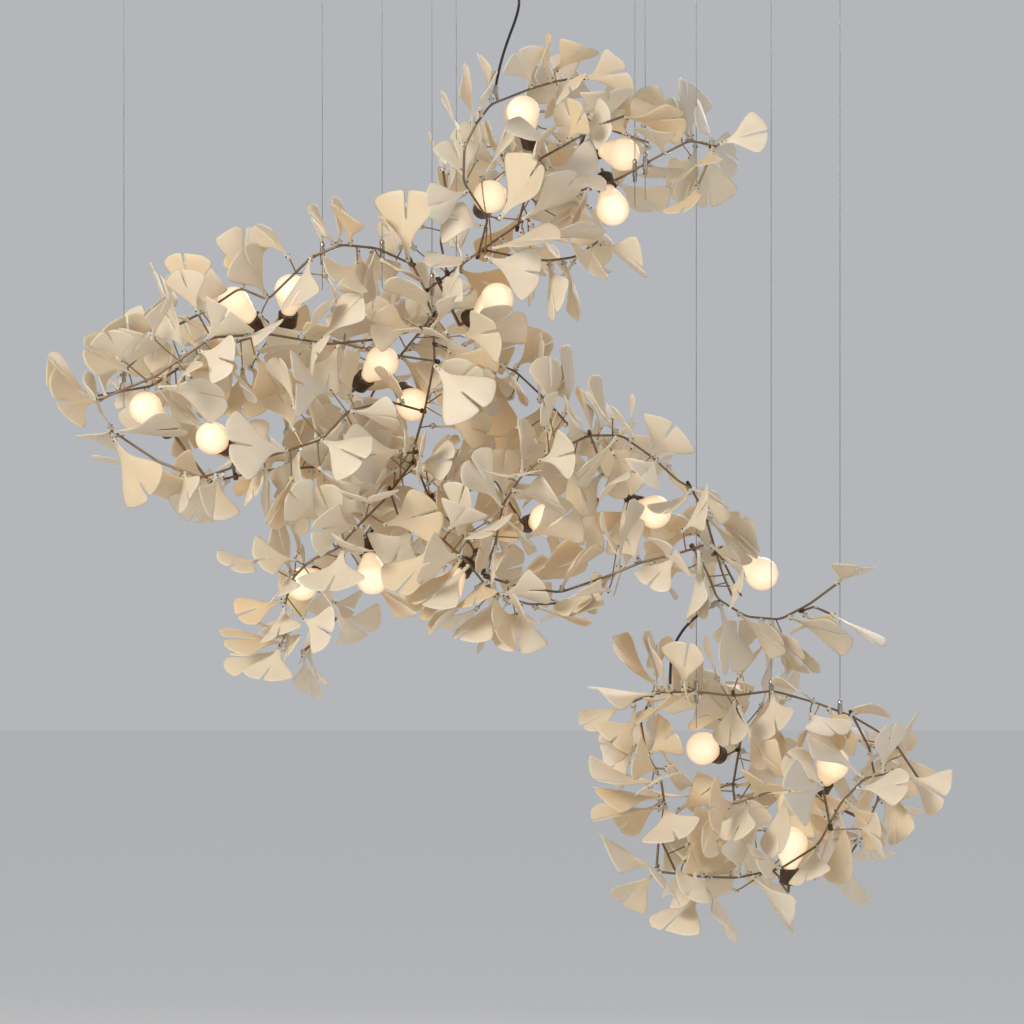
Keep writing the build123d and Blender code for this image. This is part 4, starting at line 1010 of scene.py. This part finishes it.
def inBox(spots):
    return all(cadBox[0][i] + mm < spot[i] < cadBox[1][i] - mm for spot in spots for i in range(3))


def fartherThan(tree, spots, gap):
    return all(tree.find(spot)[2] > gap for spot in spots)


leadSpots = [spot for route in (powerRoute, linkRoute)
             for spot, way in samplesAlong([Vector(p) for p in route], 5 * mm)]
leadTree = treeOf(leadSpots)
leafSpots = {body: [spot for leaf in leaves for spot in bladeSpots(leaf, leafLook) + stemSpots(leaf)]
             for body, leaves in heldLeaves.items()}
metalTrees = {body: treeOf(metalSamples[body] + [spot for spot, way in branchSamples[body]])
              for body in heldLeaves}
outlineTree = treeOf([Vector((spot.x, 0, spot.z)) for spots in leafSpots.values() for spot in spots])
shifts = [Vector((0, 0, i * 10 * mm)) for i in range(-3, 4)]
otherTrees = {}
for body, other in (("upper_group", "lower_group"), ("lower_group", "upper_group")):
    still = leafSpots[other] + metalSamples[other] + [spot for spot, way in branchSamples[other][::3]]
    otherTrees[body] = treeOf([spot + shift for spot in still for shift in shifts])
leafTrees = {body: treeOf(spots) for body, spots in leafSpots.items()}
carriers = [(body, spot, way) for body, samples in branchSamples.items() for spot, way in samples]


# The two groups pass each other when one is set higher, so their new leaves stay apart all the way
def clearOfGroup(spots, others, look):
    for other in others:
        if (other[0] - spots[0]).length > look["groupReach"]:
            continue
        for a in spots:
            for b in other:
                if abs(a.z - b.z) < look["travel"] + look["otherGap"] and \
                        math.hypot(a.x - b.x, a.y - b.y) < look["passGap"]:
                    return False
    return True


def proposedLeaf(chance, look):
    body, spot, way = chance.choice(carriers)
    along = Vector([chance.gauss(0, 1) for i in range(3)]).normalized()
    roll = chance.uniform(0, math.pi)
    length = chance.choice(look["sizes"])
    cup, curl = chance.choice(look["bends"])
    slope = along.dot(way)
    if abs(slope) > look["slope"]:
        return None, body
    slide = (along - slope * way).normalized()
    helper = along.orthogonal().normalized()
    side = (math.cos(roll) * helper + math.sin(roll) * along.cross(helper)).normalized()
    base = spot + slide * (rodLook["radius"] + 0.4 * mm)
    if chance.random() < look["twigShare"]:
        reach = (slide + 0.7 * Vector([chance.gauss(0, 0.5) for i in range(3)])).normalized()
        base = spot + reach * chance.uniform(*look["twigLengths"])
    leaf = {"base": base, "along": along, "side": side, "normal": along.cross(side), "length": length,
            "cup": cup, "curl": curl, "from": spot}
    return giveCharacter(leaf, chance, leafLook), body


def leafFits(leaf, body, look):
    spots = bladeSpots(leaf, leafLook)
    stems = stemSpots(leaf)
    if not inBox(spots) or not leavesLampsInView(spots, look):
        return False
    if not all(insideMass(spot) or outlineTree.find((spot.x, 0, spot.z))[2] < look["outline"]
               for spot in spots):
        return False
    run = leaf["base"] - leaf["from"]
    if run.length > look["twigLengths"][0] / 2:
        twig = [leaf["from"].lerp(leaf["base"], share / 8) for share in range(1, 9)]
        if run.dot(leaf["along"]) < look["turnOut"] * run.length or not clearOfLamps(twig, look):
            return False
        if not (fartherThan(leafTrees[body], twig, look["twigGap"]) and clearOfCables(twig, look)):
            return False
        if metalTrees[body].find(leaf["base"])[2] < look["metalGap"] + look["seatExtra"]:
            return False
    if not fartherThan(metalTrees[body], spots, look["metalGap"]):
        return False
    if not fartherThan(leafTrees[body], spots + stems, look["leafGap"]):
        return False
    if not (clearOfLamps(spots, look) and clearOfCables(spots + stems, look)):
        return False
    return fartherThan(leadTree, spots + stems, look["leadGap"]) and \
        fartherThan(otherTrees[body], spots, look["otherGap"]) and \
        clearOfGroup(spots, [spots for place, spots in fillSpots if place != body], look)


fillChance = random.Random(fillLook["seed"])
fillLeaves = forBothGroups(list)
fillSpots = []    # the body and the blade spots of each leaf taken so far
for attempt in range(fillLook["tries"]):
    leaf, body = proposedLeaf(fillChance, fillLook)
    if leaf is None or not leafFits(leaf, body, fillLook):
        continue
    fillLeaves[body].append(leaf)
    fillSpots.append((body, bladeSpots(leaf, leafLook)))
    leafSpots[body] += bladeSpots(leaf, leafLook) + stemSpots(leaf)
    leafSpots[body] += [leaf["from"].lerp(leaf["base"], share / 6) for share in range(2, 6)]
    leafTrees[body] = treeOf(leafSpots[body])
    if sum(len(leaves) for leaves in fillLeaves.values()) == fillLook["count"]:
        break
for body, leaves in fillLeaves.items():
    heldLeaves[body] += leaves
    for start in range(0, len(leaves), fillLook["perPiece"]):
        name = "porcelain_fill_" + body + "_" + str(1 + start // fillLook["perPiece"])
        piece = leafPiece(name, leaves[start:start + fillLook["perPiece"]], leafStub, leafLook)
        settle(piece, body, porcelain)
    print("fill leaves on", body, len(leaves))

# Each leaf's stem is held by a pin that runs from its rod, and locked by a small dark screw
pinLook = {
    "radius": 1.3 * mm, "depth": 8 * mm, "inset": 0.5 * mm, "ownTwig": 4 * mm,
    "screwRadius": 1.5 * mm, "screwLength": 10.4 * mm, "screwFrom": 6.5 * mm,
}
screwProfile = [(0, -0.5), (0.7, -0.5), (1.0, -0.44), (1.0, 0.44), (0.7, 0.5), (0, 0.5)]
screwForm = spunMesh("stemScrew", screwProfile, 7)
twigEnds = forBothGroups(list)
for nodeName in twigNodes:
    twigEnds[nodeBody[nodeName]] += [line[-1] for line in twigLines[nodeName]] + \
                                    [line[0] for line in twigLines[nodeName]]


def addHolding(pins, screws, leaf, body, look):
    start = leaf["base"]
    tip = start + look["depth"] * leaf["along"]
    near = min(((spot - start).length for spot in twigEnds[body]), default=1.0)
    if near > look["ownTwig"]:
        spot = leaf.get("from") or rodTrees[body].find(start)[0]
        pins.append([spot, start - look["inset"] * leaf["along"], tip])
    across = turnedTo(start + look["screwFrom"] * leaf["along"], leaf["normal"], leaf["side"])
    size = Matrix.Diagonal((look["screwRadius"], look["screwRadius"], look["screwLength"], 1.0))
    addCopy(screws, screwForm, across @ size)


for body, leaves in heldLeaves.items():
    pins = []
    screws = bmesh.new()
    for leaf in leaves:
        addHolding(pins, screws, leaf, body, pinLook)
    pinTubes = tubeMesh("pins", pins, pinLook["radius"], 1, 2)
    piece = pieceFromMesh("stemPins_" + body, pinTubes, math.radians(60))
    settle(piece, body, twigMetal)
    piece = pieceFromBmesh("stemScrews_" + body, screws, math.radians(40))
    settle(piece, body, screwMetal)
print("stems held")

# Stage: a plain pale floor, soft studio light and the camera straight in front
stageLook = {
    "floor": "#ECECEC", "floorSize": 60, "floorHeight": -2.35, "floorLift": 0.165,
    "background": "#B4B6BA", "ambientColour": "#E6EAF0", "ambient": 0.36, "aim": (0, 0, -0.95),
}
bpy.ops.mesh.primitive_plane_add(size=stageLook["floorSize"], location=(0, 0, stageLook["floorHeight"]))
floor = bpy.context.object
floor.name = "floor"
floorPaint, floorTree, floorShader = startMaterial("mattFloorPaint", {"Roughness": 0.9})[:3]
floorShader.inputs["Base Color"].default_value = linearColour(stageLook["floor"])
floorPath = addNode(floorTree, "ShaderNodeLightPath")
floorSeen = addNode(floorTree, "ShaderNodeMath", {"operation": "MULTIPLY", 1: stageLook["floorLift"]},
                    {0: floorPath.outputs["Is Camera Ray"]})
floorTree.links.new(floorSeen.outputs[0], floorShader.inputs["Emission Strength"])
floor.data.materials.append(floorPaint)

world = bpy.data.worlds.new("studio")
bpy.context.scene.world = world
world.use_nodes = True
tree = world.node_tree
tree.nodes.clear()
path = addNode(tree, "ShaderNodeLightPath")
seen = addNode(tree, "ShaderNodeMath", {"operation": "MAXIMUM"},
               {0: path.outputs["Is Camera Ray"], 1: path.outputs["Is Glossy Ray"]})
shown = addNode(tree, "ShaderNodeBackground",
                {"Color": linearColour(stageLook["background"]), "Strength": 1.0})
light = addNode(tree, "ShaderNodeBackground",
                {"Color": linearColour(stageLook["ambientColour"]), "Strength": stageLook["ambient"]})
mixed = addNode(tree, "ShaderNodeMixShader", {},
                {0: seen.outputs[0], 1: light.outputs[0], 2: shown.outputs[0]})
addNode(tree, "ShaderNodeOutputWorld", {}, {"Surface": mixed.outputs[0]})

lamps = {
    "key": {"place": (-3.2, -4.2, 1.4), "size": 1.8, "power": 195, "colour": "#FFF3E4"},
    "fill": {"place": (3.8, -3.4, -0.6), "size": 3.0, "power": 40, "colour": "#EEF3FF"},
    "back": {"place": (1.6, 4.0, 1.2), "size": 2.4, "power": 70, "colour": "#FFF6EA"},
}
for name, lamp in lamps.items():
    data = bpy.data.lights.new(name, "AREA")
    data.size = lamp["size"]
    data.energy = lamp["power"]
    data.color = linearColour(lamp["colour"])[:3]
    holder = bpy.data.objects.new(name, data)
    bpy.context.scene.collection.objects.link(holder)
    holder.location = lamp["place"]
    aim = Vector(stageLook["aim"]) - holder.location
    holder.rotation_euler = aim.to_track_quat("-Z", "Y").to_euler()

cameraData = bpy.data.cameras.new("camera")
cameraData.sensor_width = view["sensor"]
cameraData.lens = view["sensor"] * view["distance"] / view["frameWidth"]
cameraData.clip_end = view["farEnd"]
camera = bpy.data.objects.new("camera", cameraData)
bpy.context.scene.collection.objects.link(camera)
camera.location = Vector(view["target"]) + Vector((0, -view["distance"], 0))
camera.rotation_euler = (math.radians(90), 0, 0)
bpy.context.scene.camera = camera
bpy.context.scene.view_settings.view_transform = "Standard"
print("stage set")
